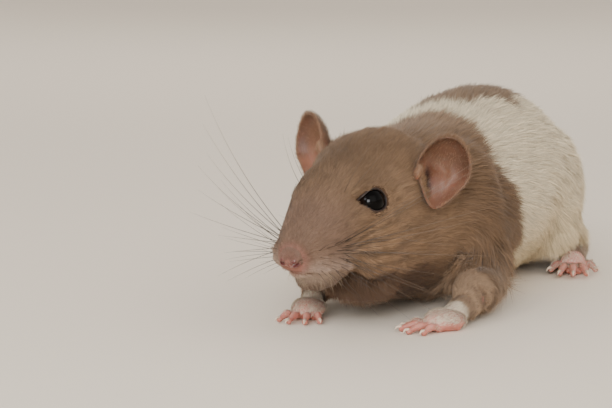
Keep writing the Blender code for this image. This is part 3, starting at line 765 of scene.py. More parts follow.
def press_eye(points, side):
    """Clears the eyeball, and lets the skin round it rise only gently from the lids."""
    at_eye, out, edge = around_eye(points, side)
    near = (at_eye[:, 2] > -1.0) & (out < edge + SOCKET_REACH)
    brink = np.sqrt(np.maximum(0.1, EYE_RADIUS**2 - edge**2))
    highest = brink + SOCKET_RISE + SOCKET_SLOPE[side] * (out - edge)
    excess = np.maximum(0.0, at_eye[:, 2] - highest) * near * (out > edge)
    at_eye[:, 2] -= excess * (1 - fade(out - edge, 0.5 * SOCKET_REACH, SOCKET_REACH))
    inner = (out < 1.2 * edge) & (at_eye[:, 2] > 0) & (np.linalg.norm(at_eye, axis=1) < 7.0)
    at_eye[inner] = unit(at_eye[inner]) * (EYE_RADIUS - SOCKET_BACK)
    moved = near | inner
    points[moved] = outside(eye_place(side), at_eye[moved])
    print("points pressed in for an eye:", np.count_nonzero(inner))


for side in SIDES:
    press_eye(skin_points, side)

# %% [markdown]
# The cup of each ear is a hollow, and the head's skin must not fill it. So the skin there is pressed
# in to a little behind the cup.

# %% Clear the cups of the ears
EAR_OPENING = {LEFT: (0.66, 0.70, 0.20), RIGHT: (0.79, -0.57, 0.21)}
EAR_RISE = {LEFT: (-0.14, 0.30, 0.92), RIGHT: (-0.42, -0.30, 0.92)}
EAR_HALF_HEIGHT, EAR_HALF_WIDTH, EAR_DEPTH, EAR_TAPER = 8.9, 6.9, 5.2, 0.48
EAR_SHALLOWING = 0.30
EAR_CLEARANCE = 2.2


def ear_place(side):
    """The ear's frame: Z out of the cup, X towards its top."""
    return frame_from(EAR_CENTRE[side], EAR_OPENING[side], EAR_RISE[side])


def in_ear(points, side):
    """Places in the ear's frame, and the share of the cup's outline that each one reaches."""
    at_ear = inside(ear_place(side), points)
    tall = at_ear[:, 0] / EAR_HALF_HEIGHT
    wide = at_ear[:, 1] / (EAR_HALF_WIDTH * (1 - EAR_TAPER * np.clip(-tall, 0, 1)))
    return at_ear, tall, np.hypot(tall, wide)


def press_ear(points, side):
    """Clears the cup of the ear, so that its hollow is open down to the canal."""
    at_ear, tall, out = in_ear(points, side)
    bowl = np.sqrt(np.maximum(0.0, 1 - out**2))
    lowest = -EAR_DEPTH * (1 - EAR_SHALLOWING * tall) * bowl - EAR_CLEARANCE
    inner = (out < 0.98) & (at_ear[:, 2] > lowest) & (at_ear[:, 2] < 3.0)
    at_ear[inner, 2] = lowest[inner]
    points[inner] = outside(ear_place(side), at_ear[inner])
    print("points pressed in for an ear:", np.count_nonzero(inner))


for side in SIDES:
    press_ear(skin_points, side)
move_points(skin_mesh, skin_points)
skin_mesh.shade_smooth()

# %% [markdown]
# ## The markings
#
# This rat is hooded: mushroom brown over the head, the neck, the shoulders and the arms, cream
# behind, with a broken brown stripe along the back, white forefeet, and pink skin that shines
# through the thin hair of the muzzle. One function gives the colour of the coat at any place, and
# the skin and every hair ask it, so they always agree. It also lays painted shade and painted light
# into the coat: shade under the throat, behind the head, at the shoulder, on the crown and in the
# grooves of the whisker pads, and light low on the arms and along the top of the neck. Slow noise
# bends the edges of the markings as real ones bend.

# %% The colours of the coat
BROWN = linear("#846951")
BROWN_DEEP = linear("#6b523b")
BROWN_GOLD = linear("#876a4d")
# Painted light for the brown coat.
BROWN_PAINTED_LIGHT = linear("#a1866c")
CREAM = linear("#d6c8ac")
CREAM_WARM = linear("#cdb992")
MUZZLE_TONE = linear("#795f4f")
LIP_PALE = linear("#b39c8b")
# Painted shade for the crease of the mouth.
LIP_CREASE_SHADE = linear("#5c3d34")
PINK = linear("#8a5f53")
# Painted shade for the throat.
THROAT_SHADE = linear("#4c3626")
LID_DARK = linear("#33241c")
HAND_WHITE = linear("#d9cbb5")

# %% The hood and the stripe
# The hood's edge, millimetres along the body against degrees from the top of the back round.
HOOD_ANGLES, HOOD_PLACES = (0, 25, 50, 75, 100, 130), (-7, -12, -24, -24, -16, -14)
HOOD_WAVE, HOOD_RIPPLE, HOOD_BLUR = 2.6, 1.3, 1.6
SPINE_HEIGHT = 22.0
STRIPE_START, STRIPE_END = 8.0, 90.0
STRIPE_FRONT, STRIPE_BACK = 14.0, 5.0
STRIPE_WAVE, STRIPE_RIPPLE, STRIPE_LOSS, STRIPE_BLUR = 2.0, 0.9, 0.6, 1.4


def hood_share(at_body, cloud):
    """1 in the brown hood, and 0 behind its wavy edge."""
    around = np.degrees(np.arctan2(np.abs(at_body[:, 0]), at_body[:, 2] - SPINE_HEIGHT))
    edge = np.interp(around, HOOD_ANGLES, HOOD_PLACES) + HOOD_WAVE * cloud
    edge += HOOD_RIPPLE * soft_noise(at_body, 4.0, 2)
    return 1 - fade(at_body[:, 1], edge - HOOD_BLUR, edge + HOOD_BLUR)


def stripe_share(at_body, cloud):
    """1 in the stripe along the back, which narrows to points where it breaks."""
    across, along, up = at_body.T
    half = STRIPE_FRONT + (STRIPE_BACK - STRIPE_FRONT) * fade(along, STRIPE_START, STRIPE_END)
    half *= fade(soft_noise(at_body, 16.0, 5) + 0.15 * cloud, -0.75, -0.1)
    half += STRIPE_WAVE * soft_noise(at_body, 11.0, 3)
    half += STRIPE_RIPPLE * soft_noise(at_body, 3.5, 4) - STRIPE_LOSS
    stripe = 1 - fade(np.abs(across), half - STRIPE_BLUR, half + STRIPE_BLUR)
    stripe *= fade(along - 2 * cloud, STRIPE_START - 2, STRIPE_START + 2)
    return stripe * fade(up, 16.0, 24.0)


# %% Painted shade and highlight in the streaks of the whisker pads
PAD_FOCUS = (22.0, -9.5)
PAD_ROWS, PAD_GROOVE_CONTRAST = 50.0, 0.36


def pad_groove_shading(at_head):
    """Light and dark streaks where rows of long hair leave the whisker pad and fan out: painted highlight
    on the rows and painted shade in the grooves between them.
    """
    ahead, across, up = at_head.T
    angle = np.arctan2(up - PAD_FOCUS[1], PAD_FOCUS[0] - ahead)
    streak = np.cos(PAD_ROWS * (angle + 0.03 * soft_noise(at_head, 3.0, 8)))
    here = fade(ahead, 14.0, 9.0)
    here *= 0.45 * fade(ahead, -18.0, -6.0) + 0.55 * fade(ahead, -4.0, 3.0)
    here *= fade(np.abs(angle + 0.06), 0.46, 0.28) * fade(np.abs(across), 6.0, 8.5)
    return streak * here


# %% The brown of each region, with painted shade and light
def brown_with_painted_light(at_head, at_body):
    """Brown in clouds of deep and golden, with painted shade behind the head, at the shoulder, on the
    crown and under the throat, painted light low on the arms and along the top of the neck, and pale at
    the lips.
    """
    ahead, up = at_head[:, 0], at_head[:, 2]
    x, y, z = at_body.T
    # Deep brown comes in random clouds, and is also painted shade behind the head.
    deep = 0.42 + 0.30 * soft_noise(at_body, 9.0, 7) + 0.25 * fade(ahead, -26.0, -44.0)
    golden = 0.35 + 0.35 * soft_noise(at_body, 5.0, 9)
    # Painted shade on the side of the neck and the shoulder, behind the head.
    shoulder_shade = fade(ahead, -24.0, -40.0) * ridge(z, 27.0, 15.0) * fade(y, -14.0, -30.0)
    # Painted light: lighter low on the sides and the arms, and along the top of the neck behind the head.
    painted_light_share = fade(z, 17.0, 10.0) * fade(np.abs(x), 12.0, 20.0)
    painted_light_share += fade(z, 42.0, 47.0) * ridge(y, -20.0, 12.0)
    # Painted shade: the top of the head is painted darker.
    crown_shade = fade(up + 0.55 * np.maximum(ahead, 0), -1.0, 7.0)
    crown_shade *= 0.08 * fade(ahead, -60.0, -40.0) + 0.20 * ridge(ahead, -2.0, 9.0)
    lip = fade(ahead, 3.0, 11.0) * fade(up, -6.5, -11.5)
    # Painted shade under the jaw and down the throat.
    throat_shade = fade(above_mouth(at_head), -0.3, -3.6) * fade(ahead, -40.0, -14.0)
    throat_shade *= fade(np.abs(x - 2), 21.0, 13.0)
    coat = layered(
        BROWN,
        (BROWN_DEEP, np.clip(deep, 0, 1)),
        (BROWN_GOLD, golden),
        (BROWN_DEEP * 0.9, 0.85 * shoulder_shade),
        (BROWN_PAINTED_LIGHT, 0.7 * np.clip(painted_light_share, 0, 1)),
        (MUZZLE_TONE, 0.75 * fade(ahead, 4.0, 15.0)),
    )
    coat *= (1 - crown_shade)[:, None]
    return layered(coat, (LIP_PALE, 0.6 * lip), (THROAT_SHADE, 0.85 * throat_shade))


# %% The colour at any place, and the painted skin
NOSE_TIP = (22.8, 0, -8.2)
HAND_START, HAND_END = 5.6, 7.2
# The undercoat is painted darker than the tips of the hair: partly its own colour, partly painted shade
# between the hairs.
UNDERCOAT_SHADE = 0.76


def coat_colour_with_painted_light(points):
    """The linear colour of the coat at points given in metres, with painted shade and painted light laid
    in.
    """
    at_head, at_body = inside(head, points), inside(body, points)
    cloud = soft_noise(at_body, 13.0, 1)
    brown = np.maximum(hood_share(at_body, cloud), 0.95 * stripe_share(at_body, cloud))
    cream = mixed(CREAM, CREAM_WARM, 0.75 * fade(at_body[:, 2] + 8 * cloud, 34.0, 8.0))
    colour = mixed(cream, brown_with_painted_light(at_head, at_body), brown)
    # Painted highlight and shade in the streaks behind the whisker pads.
    colour *= (1 + PAD_GROOVE_CONTRAST * pad_groove_shading(at_head))[:, None]
    for side in SIDES:
        palm = np.array(PALM[side])
        up_arm = unit(np.array(ELBOW[side]) - palm)
        white = fade((at_body - palm) @ up_arm + 0.5 * cloud, HAND_END, HAND_START)
        colour = mixed(colour, HAND_WHITE, white * fade(distance_to(at_body, palm), 10.0, 8.5))
    return mixed(colour, PINK, 0.7 * nearness(at_head, NOSE_TIP, 2.6, 5.4))


def skin_colours(points):
    """The undercoat is darker than the tips of the hair, partly as its own colour and partly as painted
    shade between the hairs. It is bare round the nose and the eyes, with painted shade in the crease of
    the mouth.
    """
    at_head = inside(head, points)
    # Painted shade along the crease of the mouth.
    crease_shade = ridge(above_mouth(at_head), 0, 0.7) * fade(at_head[:, 0], 3.0, 8.0)
    return layered(
        coat_colour_with_painted_light(points) * UNDERCOAT_SHADE,
        (PINK * 0.85, nearness(at_head, NOSE_TIP, 3.4, 5.4)),
        (LIP_CREASE_SHADE, 0.7 * crease_shade),
        (LID_DARK, nearness(at_head, sided(EYE_CENTRE, LEFT), 4.4, 5.8)),
        (LID_DARK, nearness(at_head, sided(EYE_CENTRE, RIGHT), 4.4, 5.8)),
    )


paint(skin_mesh, skin_colours(coordinates(skin_mesh)))
new_piece("skin", skin_mesh, undercoat, FLESH)

# %% [markdown]
# ## Which way the hair lies
#
# Hair lies like water flowing over the body: away from the nose, over the brow and the cheeks, past
# the ears, down the flanks and along each leg. The flow could be drawn by hand as guides. Here each
# region gets its one plain direction, and then neighbours on the skin even each other out until
# the regions run together without a parting.

# %% The plain direction of each region
REGION_FLOWS = {"neck": (0, 1.0, -0.25), "chest": (0, 1.0, -0.35), "belly": (0, 1.0, -0.30)}
REGION_FLOWS |= {"rump": (0, 1.0, -0.40), "thigh": (0, 0.75, -0.65)}
SHOULDER = {LEFT: (17, -40, 25), RIGHT: (-16, -42, 25)}
# The hair of the arms lies along them, and leans back by so much.
FOREARM_LEAN, UPPER_ARM_LEAN = Vector((0, 12, -10)), Vector((0, 14, 2))
BEFORE_NOSE = (29.0, 0.0, -8.0)
EYE_REACH, EAR_REACH = 5.0, 8.0


def region_flow(node, side):
    """The plain direction of the hair on one solid, in the body's frame."""
    if node.startswith("forearm"):
        return Vector(WRIST[side]) - Vector(ELBOW[side]) + FOREARM_LEAN
    if node.startswith("upper_arm"):
        return Vector(ELBOW[side]) - Vector(SHOULDER[side]) + UPPER_ARM_LEAN
    return Vector(next(flow for part, flow in REGION_FLOWS.items() if node.startswith(part)))


def head_flow(at_head):
    """Away from a point just before the nose, down round the lips, and past the eyes and ears."""
    flow = unit(at_head - np.array(BEFORE_NOSE))
    flow += np.array((-0.35, 0.0, 0.0))
    hang = fade(at_head[:, 0], 2.0, 10.0) * fade(at_head[:, 2], -8.0, -13.0)
    flow += hang[:, None] * np.array((-0.1, 0.0, -1.1))
    for side in SIDES:
        eye = sided(EYE_CENTRE, side)
        for centre, reach in ((eye, EYE_REACH), (EAR_CENTRE[side], EAR_REACH)):
            away = at_head - np.array(centre)
            push = np.exp(-((np.linalg.norm(away, axis=1) / reach) ** 2))
            flow += 0.9 * push[:, None] * unit(away)
        away = unit(at_head - np.array(eye))
        inward = np.minimum(0.0, np.sum(unit(flow) * away, axis=1))
        flow -= (inward * fade(distance_to(at_head, eye), 9.0, 6.0))[:, None] * away
    return unit(flow) @ np.array(head.to_3x3()).T


# %% The lie of the coat over the whole skin
FLOW_PASSES = 36
BEND_PASSES = 8
BEND_LOWEST, BEND_HIGHEST = -8.0, 90.0


def lie_of_coat(mesh):
    """A smooth unit direction along the skin at each of its points."""
    points, normals = coordinates(mesh), normals_of(mesh)
    tree = kdtree.KDTree(sum(len(nodes[node].data.vertices) for node in FLESH))
    flows = []
    for node in FLESH:
        side = RIGHT if node.endswith("right") else LEFT
        on_head = node.startswith(("head", "jaw", "whisker"))
        flow = (0, 0, 0) if on_head else region_flow(node, side)
        for vert in nodes[node].data.vertices:
            tree.insert(vert.co, len(flows))
            flows.append(flow)
    tree.balance()
    flow = unit(np.array([flows[tree.find(point)[1]] for point in points], float))
    on_head = fade(inside(head, points)[:, 0], -38.0, -24.0)[:, None]
    flow = unit(flow * (1 - on_head) + head_flow(inside(head, points)) * on_head)
    edges = edges_of(mesh)
    for _ in range(FLOW_PASSES):
        flow = unit(flow) + unit(sum_around(flow, edges))
        flow -= normals * np.sum(flow * normals, axis=1, keepdims=True)
    return unit(flow)


def bend_of_skin(mesh, flow):
    """How sharply the skin bends along the lie of the coat: 1 / radius, in 1 / metres."""
    points, normals = coordinates(mesh), normals_of(mesh)
    near, far = edges_of(mesh)
    step = points[far] - points[near]
    turn = np.sum((normals[far] - normals[near]) * step, axis=1) / np.sum(step**2, axis=1)
    sums = np.zeros((len(points), 2))
    for ends in (near, far):
        along = np.sum(flow[ends] * unit(step), axis=1) ** 2
        sums[:, 0] += np.bincount(ends, along * turn, len(points))
        sums[:, 1] += np.bincount(ends, along, len(points))
    for _ in range(BEND_PASSES):
        sums += sum_around(sums, (near, far))
    return np.clip(sums[:, 0] / sums[:, 1], BEND_LOWEST, BEND_HIGHEST)


flow_field = lie_of_coat(skin_mesh)
bend_field = bend_of_skin(skin_mesh, flow_field)
print("lie of the coat:", len(flow_field), "directions")

# %% [markdown]
# ## A hair
#
# Each hair, or small lock of hairs, is a thin blade: a strip that leaves the skin, bends back along
# the lie of the coat and ends in a point. Particle hair would be quicker to make, but it isn't a
# mesh, so it could not be exported or printed. The blades are worked out for a whole coat at once:
# where they root, how they bend, how wide they are, and what colour they have from root to tip.
# Their second map, OFBake, gives each blade a patch of its own near its root's place on the
# unrolled skin, so that a bake of its colours keeps them apart.

# %% Rooting hairs on a surface
def face_triangles(mesh):
    """The corners of the triangles of a mesh, and their areas in square metres."""
    mesh.calc_loop_triangles()
    corners = np.empty(3 * len(mesh.loop_triangles), int)
    mesh.loop_triangles.foreach_get("vertices", corners)
    triangles = corners.reshape(-1, 3)
    a, b, c = (coordinates(mesh)[triangles[:, corner]] for corner in range(3))
    return triangles, np.linalg.norm(np.cross(b - a, c - a), axis=1) / 2


def rooted(mesh, density, count, rng):
    """So many random roots on a mesh, thicker where density is higher: (corners, weights)."""
    triangles, area = face_triangles(mesh)
    share = np.cumsum(area * density[triangles].mean(axis=1))
    chosen = np.searchsorted(share, rng.uniform(0, share[-1], count))
    u, v = rng.uniform(0, 1, (2, count))
    u, v = np.where(u + v > 1, 1 - u, u), np.where(u + v > 1, 1 - v, v)
    return triangles[chosen], np.stack([1 - u - v, u, v], axis=1)


def at_roots(values, corners, weights):
    """Values at the points of a mesh, read at each root."""
    picked = values[corners]
    shape = weights.shape + (1,) * (picked.ndim - 2)
    return np.sum(picked * weights.reshape(shape), axis=1)


# %% Growing hairs from their roots
PATCH = 0.003
BURIED = 0.3 * MM
FLOOR_GAP = 0.05 * MM
# How a blade straightens towards its tip, the most of its rise that a bend takes, and its taper.
STRAIGHTENING, MOST_BEND, TAPER = 0.42, 0.6, 0.7
ROLL = 0.4
# The tone of a blade at its root, from dark hair to light, and at its tip. The darker root is partly the
# hair's own colour and partly painted shade deep in the coat.
ROOT_TONE_AND_SHADE, ROOT_TONE_GAIN, TIP_TONE = 0.60, 0.35, 1.08


def grow(hairs, steps, rng):
    """Blades as arrays: points, triangles, patch corners and colours. Sizes are in metres."""
    root, normal, flow = hairs["root"], hairs["normal"], hairs["flow"]
    length, colour = hairs["length"][:, None], hairs["colour"]
    side = unit(np.cross(normal, flow))
    roll = rng.normal(0, ROLL, len(root))[:, None]
    side = unit(side * np.cos(roll) + normal * np.sin(roll))
    # The darker root: partly the hair's own colour, partly painted shade.
    root_tone_and_shade = ROOT_TONE_AND_SHADE + ROOT_TONE_GAIN * colour.mean(axis=1, keepdims=True)
    rows = 2 * steps + 1
    points, tones = np.empty((2, len(root), rows, 3))
    patch = np.empty((rows, 2))
    for step in range(steps + 1):
        t = step / steps
        rise = hairs["lift"][:, None] * t * (1 - STRAIGHTENING * t) * length
        rise -= np.minimum(hairs["bend"][:, None] * (length * t) ** 2 / 2, MOST_BEND * rise)
        rise -= BURIED * (1 - min(1.0, 2 * t))
        middle = root + flow * (t * length) + normal * rise
        half = side * (hairs["width"] * (1 - t) ** TAPER / 2)[:, None]
        for edge in (-1, 1):
            if step == steps and edge == 1:
                break
            row = 2 * step + (edge > 0)
            points[:, row] = middle + edge * half
            tones[:, row] = colour * (root_tone_and_shade + (TIP_TONE - root_tone_and_shade) * t)
            patch[row] = (0.5 * edge * (1 - t), t - 0.5)
    points[:, :, 2] = np.maximum(points[:, :, 2], FLOOR_GAP)
    strip = []
    for k in range(0, 2 * steps - 2, 2):
        strip += [(k, k + 3, k + 1), (k, k + 2, k + 3)]
    strip = np.array(strip + [(2 * steps - 2, 2 * steps, 2 * steps - 1)])
    triangles = (np.arange(len(root))[:, None, None] * rows + strip).reshape(-1, 3)
    return points.reshape(-1, 3), triangles, (patch, strip), tones.reshape(-1, 3)


def coat_mesh(blades, unrolled):
    """One mesh of blades with their paint and their OFBake patches."""
    points, triangles, (patch, strip), tones = blades
    mesh = bpy.data.meshes.new("coat")
    mesh.vertices.add(len(points))
    mesh.vertices.foreach_set("co", points.ravel())
    mesh.loops.add(triangles.size)
    mesh.loops.foreach_set("vertex_index", triangles.ravel())
    mesh.polygons.add(len(triangles))
    mesh.polygons.foreach_set("loop_start", np.arange(0, triangles.size, 3))
    mesh.update(calc_edges=True)
    corner_places = unrolled[:, None, :] + PATCH * patch[strip.ravel()]
    layer = mesh.uv_layers.new(name="OFBake")
    layer.uv.foreach_set("vector", corner_places.ravel())
    paint(mesh, tones)
    mesh.shade_smooth()
    return mesh


def unroll(spots):
    """Places on a skin unrolled round the Y axis of the frame they are given in, from 0 to 1."""
    around = np.arctan2(spots[:, 0], spots[:, 2]) / math.tau + 0.5
    along = (spots[:, 1] - spots[:, 1].min()) / max(1e-6, np.ptp(spots[:, 1]))
    return 0.01 + 0.98 * np.stack([around, along], axis=1)


# %% [markdown]
# ## The coat
#
# The hairs are shortest and finest on the muzzle, a few millimetres long on the head, and longest on
# the back and the rump. They lie close and follow the bends of the body, and stand a little higher
# on the crown and the neck. The coat is made band by band from the nose to the tail, so that no
# piece is too big, and each band is unrolled round the body for its OFBake map.

# %% Where no hair grows
BARE_NOSE = (23.4, 0, -8.6)


def bare_share(points):
    """1 on the nose, the hands, the eye openings and the ears' cups, and some on the lips' crease."""
    at_head, at_body = inside(head, points), inside(body, points)
    shares = [nearness(at_head, BARE_NOSE, 2.8, 3.8)]
    shares.append(0.8 * ridge(above_mouth(at_head), 0, 0.3) * fade(at_head[:, 0], 6.0, 10.0))
    for side in SIDES:
        along_arm = unit(np.array(PALM[side]) - np.array(ELBOW[side]))
        past_wrist = (at_body - np.array(WRIST[side])) @ along_arm
        shares.append(fade(past_wrist, 2.0, 3.5) * (distance_to(at_body, WRIST[side]) < 9))
        at_eye, out, edge = around_eye(points, side)
        on_eye = (1 - fade(out - edge, 0.55, 1.0)) * (at_eye[:, 2] > -1.5)
        shares.append(on_eye * (distance_to(at_eye, (0, 0, 0)) < 8))
        at_ear, _, out = in_ear(points, side)
        shares.append((out < 1.0) * (at_ear[:, 2] < 3.0) * (at_ear[:, 2] > -9.0))
    return np.max(shares, axis=0)


# %% How long, wide, steep and dense the hair is
COAT_HAIRS = 430_000
COAT_SEED = 11
# The hairs' lengths and widths in millimetres, and their steepness, for four depths of the coat.
DEPTHS = (BARE_DEPTH, MUZZLE_DEPTH, HEAD_DEPTH, BODY_DEPTH)
HAIR_LENGTHS = (1.2, 2.4, 4.4, 8.6)
HAIR_WIDTHS = (0.10, 0.13, 0.17, 0.25)
HAIR_LIFTS = (0.28, 0.38, 0.50, 0.48)
# Hairs for each square millimetre, against places from behind the neck to the muzzle.
DENSITY_PLACES, DENSITIES = (-70, -45, -24, 4, 18), (9.0, 12.0, 20.0, 32.0, 42.0)
CROWN_LIFT = 0.18


def hair_plan(points):
    """Length and width in millimetres, steepness, and hairs for each square millimetre."""
    ahead = inside(head, points)[:, 0]
    depth = coat_depth(points)
    length, width, lift = (
        np.interp(depth, DEPTHS, sizes) for sizes in (HAIR_LENGTHS, HAIR_WIDTHS, HAIR_LIFTS)
    )
    lift += CROWN_LIFT * fade(ahead, 0.0, -12.0) * fade(ahead, -60.0, -40.0)
    density = np.interp(ahead, DENSITY_PLACES, DENSITIES)
    for side in SIDES:
        at_wrist = nearness(inside(body, points), WRIST[side], 6.0, 15.0)
        length *= 1 - 0.35 * at_wrist
        lift *= 1 - 0.3 * at_wrist
        density *= 1 + 0.8 * at_wrist
    return length, width, lift, density * (1 - bare_share(points))


skin_points = coordinates(skin_mesh)
hair_length, hair_width, hair_lift, hair_density = hair_plan(skin_points)
rng = np.random.default_rng(COAT_SEED)
corners, weights = rooted(skin_mesh, hair_density, COAT_HAIRS, rng)
root = at_roots(skin_points, corners, weights)
root_normal = unit(at_roots(normals_of(skin_mesh), corners, weights))
root_flow = at_roots(flow_field, corners, weights)
print("hairs:", len(root))

# %% [markdown]
# Real fur isn't combed flat. Small groups of hairs lean together, some a little to one side, and a
# few longer guard hairs stand out. So slow noise turns the flow, quick noise turns each hair, and a
# share of the hairs is longer, thinner and darker.

# %% Vary the hairs
LEAN_SIZE, TUFT_SIZE = 7.0 * MM, 1.5 * MM
GUARD_SHARE = 0.08
GUARD_LENGTH, GUARD_WIDTH, GUARD_TONE = 1.15, 0.75, 0.84


def turned(flow, normals, angle):
    across = np.cross(normals, flow)
    return unit(flow * np.cos(angle)[:, None] + across * np.sin(angle)[:, None])


def laid(flow, normals):
    """Directions laid flat along a surface."""
    return unit(flow - normals * np.sum(flow * normals, axis=1, keepdims=True))


count = len(root)
tuft = soft_noise(root, TUFT_SIZE, 22)
lean = 0.22 * soft_noise(root, LEAN_SIZE, 21) + 0.24 * tuft + rng.normal(0, 0.08, count)
guard = rng.uniform(0, 1, count) < GUARD_SHARE
shade = 1 + 0.10 * soft_noise(root, TUFT_SIZE, 24) + rng.normal(0, 0.13, count)
coat = {
    "root": root,
    "normal": root_normal,
    "flow": turned(laid(root_flow, root_normal), root_normal, lean),
    "bend": at_roots(bend_field, corners, weights),
    "length": at_roots(hair_length, corners, weights) * rng.uniform(0.75, 1.15, count) * MM,
    "width": at_roots(hair_width, corners, weights) * rng.uniform(0.8, 1.2, count) * MM,
    "lift": at_roots(hair_lift, corners, weights) * (1 + 0.22 * soft_noise(root, TUFT_SIZE, 23)),
    "colour": coat_colour_with_painted_light(root) * np.where(guard, shade * GUARD_TONE, shade)[:, None],
}
coat["lift"] *= rng.uniform(0.65, 1.2, count)
coat["length"] *= np.where(guard, GUARD_LENGTH, 1.0)
coat["width"] *= np.where(guard, GUARD_WIDTH, 1.0)
print("guard hairs:", np.count_nonzero(guard))

# %% Grow the coat in bands of equal numbers of hairs
BANDS = ["muzzle", "cheeks", "brow", "crown_shade", "nape", "neck", "shoulders", "chest"]
BANDS += ["waist", "flanks", "hips", "rump"]


def coat_piece(name, hairs, steps, unrolled):
    blades = grow(hairs, steps, rng)
    return new_piece(name, coat_mesh(blades, unrolled), fur)


def round_body(points):
    """Places on the body, from the line that its coat is unrolled round."""
    return inside(body, points) - (0, 0, SPINE_HEIGHT)


behind = inside(head, root)[:, 0]
limits = np.quantile(behind, np.linspace(1, 0, len(BANDS) + 1))
for name, front, back in zip(BANDS, limits, limits[1:]):
    here = (behind <= front) & (behind > back)
    band = {key: values[here] for key, values in coat.items()}
    coat_piece("coat_" + name, band, 2, unroll(round_body(band["root"])))

# %% [markdown]
# ## Hair on the ears, the hands and the lips
#
# The coat runs out into shorter and thinner hair. Down covers the backs of the ears and a fine
# fringe stands on their rims, white hair lies on the hands, and pale hairs hang from the lips and
# the chin. All grow with the same function, from roots on the piece that carries them.

# %% Sparse hair
def sparse_hair(mesh, density, flow, length, width, lift, colour, rng):
    """Hair on a mesh: density at each point, and one size, in millimetres."""
    triangles, area = face_triangles(mesh)
    wanted = int(np.sum(area / MM**2 * density[triangles].mean(axis=1)))
    corners, weights = rooted(mesh, density, wanted, rng)
    normals = unit(at_roots(normals_of(mesh), corners, weights))
    flow = laid(at_roots(flow, corners, weights) + rng.normal(0, 0.18, (wanted, 3)), normals)
    return {
        "root": at_roots(coordinates(mesh), corners, weights),
        "normal": normals,
        "flow": flow,
        "bend": np.zeros(wanted),
        "length": at_roots(length, corners, weights) * rng.uniform(0.7, 1.2, wanted) * MM,
        "width": np.full(wanted, width * MM),
        "lift": lift * rng.uniform(0.6, 1.4, wanted),
        "colour": at_roots(colour, corners, weights) * rng.normal(1, 0.1, wanted)[:, None],
    }


# %% The fringe of the lips and the chin
FRINGE_LENGTH, FRINGE_GAIN, FRINGE_WIDTH, FRINGE_LIFT = 2.0, 4.2, 0.055, 0.55
FRINGE_HAIRS = 1.0
FRINGE_TONE = linear("#ab977f")
at_head = inside(head, skin_points)
below_lip = above_mouth(at_head)
on_lips = fade(at_head[:, 0], 2.0, 8.0) * fade(at_head[:, 0], 22.0, 18.5)
on_lips *= fade(below_lip, 2.2, 0.6) * fade(below_lip, -5.5, -0.5)
on_lips *= fade(normals_of(skin_mesh)[:, 2], 0.3, 0.0)
hang = way_in(head, (-0.30, 0.0, -1.0))
fringe = sparse_hair(
    skin_mesh,
    FRINGE_HAIRS * on_lips,
    0.35 * flow_field + hang,
    FRINGE_LENGTH + FRINGE_GAIN * on_lips,
    FRINGE_WIDTH,
    FRINGE_LIFT,
    np.tile(FRINGE_TONE, (len(skin_points), 1)),
    rng,
)
coat_piece("coat_fringe", fringe, 3, unroll(round_body(fringe["root"])))

# %% [markdown]
# ## The eyes
#
# A dark-eyed rat's eye is almost all pupil: a bulging black bead with a film of tears. A sphere alone
# looks like glass on a plate, so the front is drawn out a little as the cornea, and the iris is a
# ring of very dark brown that only a strong light would show. The lids are a thin dark rim that
# hugs the ball, round behind and pointed towards the nose.

# %% Eyeballs and lids
CORNEA_RISE = 0.075
# Each ring of the lids: its size against the opening, and how far it is from the ball's middle.
LID_RINGS = ((0.99, 3.99), (1.0, 4.22), (1.06, 4.46), (1.15, 4.50), (1.27, 4.36), (1.5, 3.7))
LID_STEPS = 64
EYE_BLACK, IRIS_BROWN, LID_RIM = linear("#040303"), linear("#140b07"), linear("#1c1310")
IRIS_INNER, IRIS_OUTER = (2.7, 3.0), (3.7, 3.4)


def eyeball(side):
    """The wet black ball, drawn out a little in front."""

    def build(bm):
        bmesh.ops.create_uvsphere(bm, u_segments=64, v_segments=40, radius=EYE_RADIUS * MM)
        for vert in bm.verts:
            forward = max(0.0, vert.co.z / (EYE_RADIUS * MM))
            vert.co *= 1 + CORNEA_RISE / EYE_RADIUS * forward**4
        bmesh.ops.transform(bm, matrix=eye_place(side), verts=bm.verts)

    mesh = made_by(build)
    at_eye = inside(eye_place(side), coordinates(mesh))
    out = np.hypot(at_eye[:, 0], at_eye[:, 1])
    iris = fade(out, *IRIS_INNER) * fade(out, *IRIS_OUTER) * (at_eye[:, 2] > 0)
    paint(mesh, mixed(EYE_BLACK, IRIS_BROWN, iris))
    return mesh


def lids(side):
    """A soft rim lofted through rings that widen from the edge of the opening and tuck in."""

    def build(bm):
        rings = []
        for scale, reach in LID_RINGS:
            ring = bmesh.ops.create_circle(bm, segments=LID_STEPS, radius=1.0)["verts"]
            for vert in ring:
                along, up = lid_edge(math.atan2(vert.co.y, vert.co.x))
                spot = Vector((along * scale, up * scale, 0))
                spot.z = math.sqrt(max(0.3, reach**2 - spot.length_squared))
                vert.co = spot * MM
            rings.append({edge for vert in ring for edge in vert.link_edges})
        for inner, outer in zip(rings, rings[1:]):
            bmesh.ops.bridge_loops(bm, edges=list(inner | outer))
        bmesh.ops.transform(bm, matrix=eye_place(side), verts=bm.verts)

    mesh = with_modifiers(made_by(build), ("SUBSURF", {"levels": 1, "render_levels": 1}))
    at_eye = inside(eye_place(side), coordinates(mesh))
    rim = 1 - fade(np.linalg.norm(at_eye, axis=1), 4.3, 4.55)
    mesh.shade_smooth()
    paint(mesh, mixed(LID_DARK, LID_RIM, rim))
    return mesh


for side, side_name in SIDES.items():
    new_piece("eyeball_" + side_name, eyeball(side), cornea, ["eye_" + side_name])
    new_piece("lids_" + side_name, lids(side), bare_skin)

# %% [markdown]
# ## The nose
#
# The bare tip of the nose is two rounded wings round comma-shaped nostrils, with a cleft between
# them that runs down to the lip. Soft forms like these are easiest to mould: a few balls are fused
# and smoothed, the nostrils are bored out, and a last light smoothing rounds their edges.

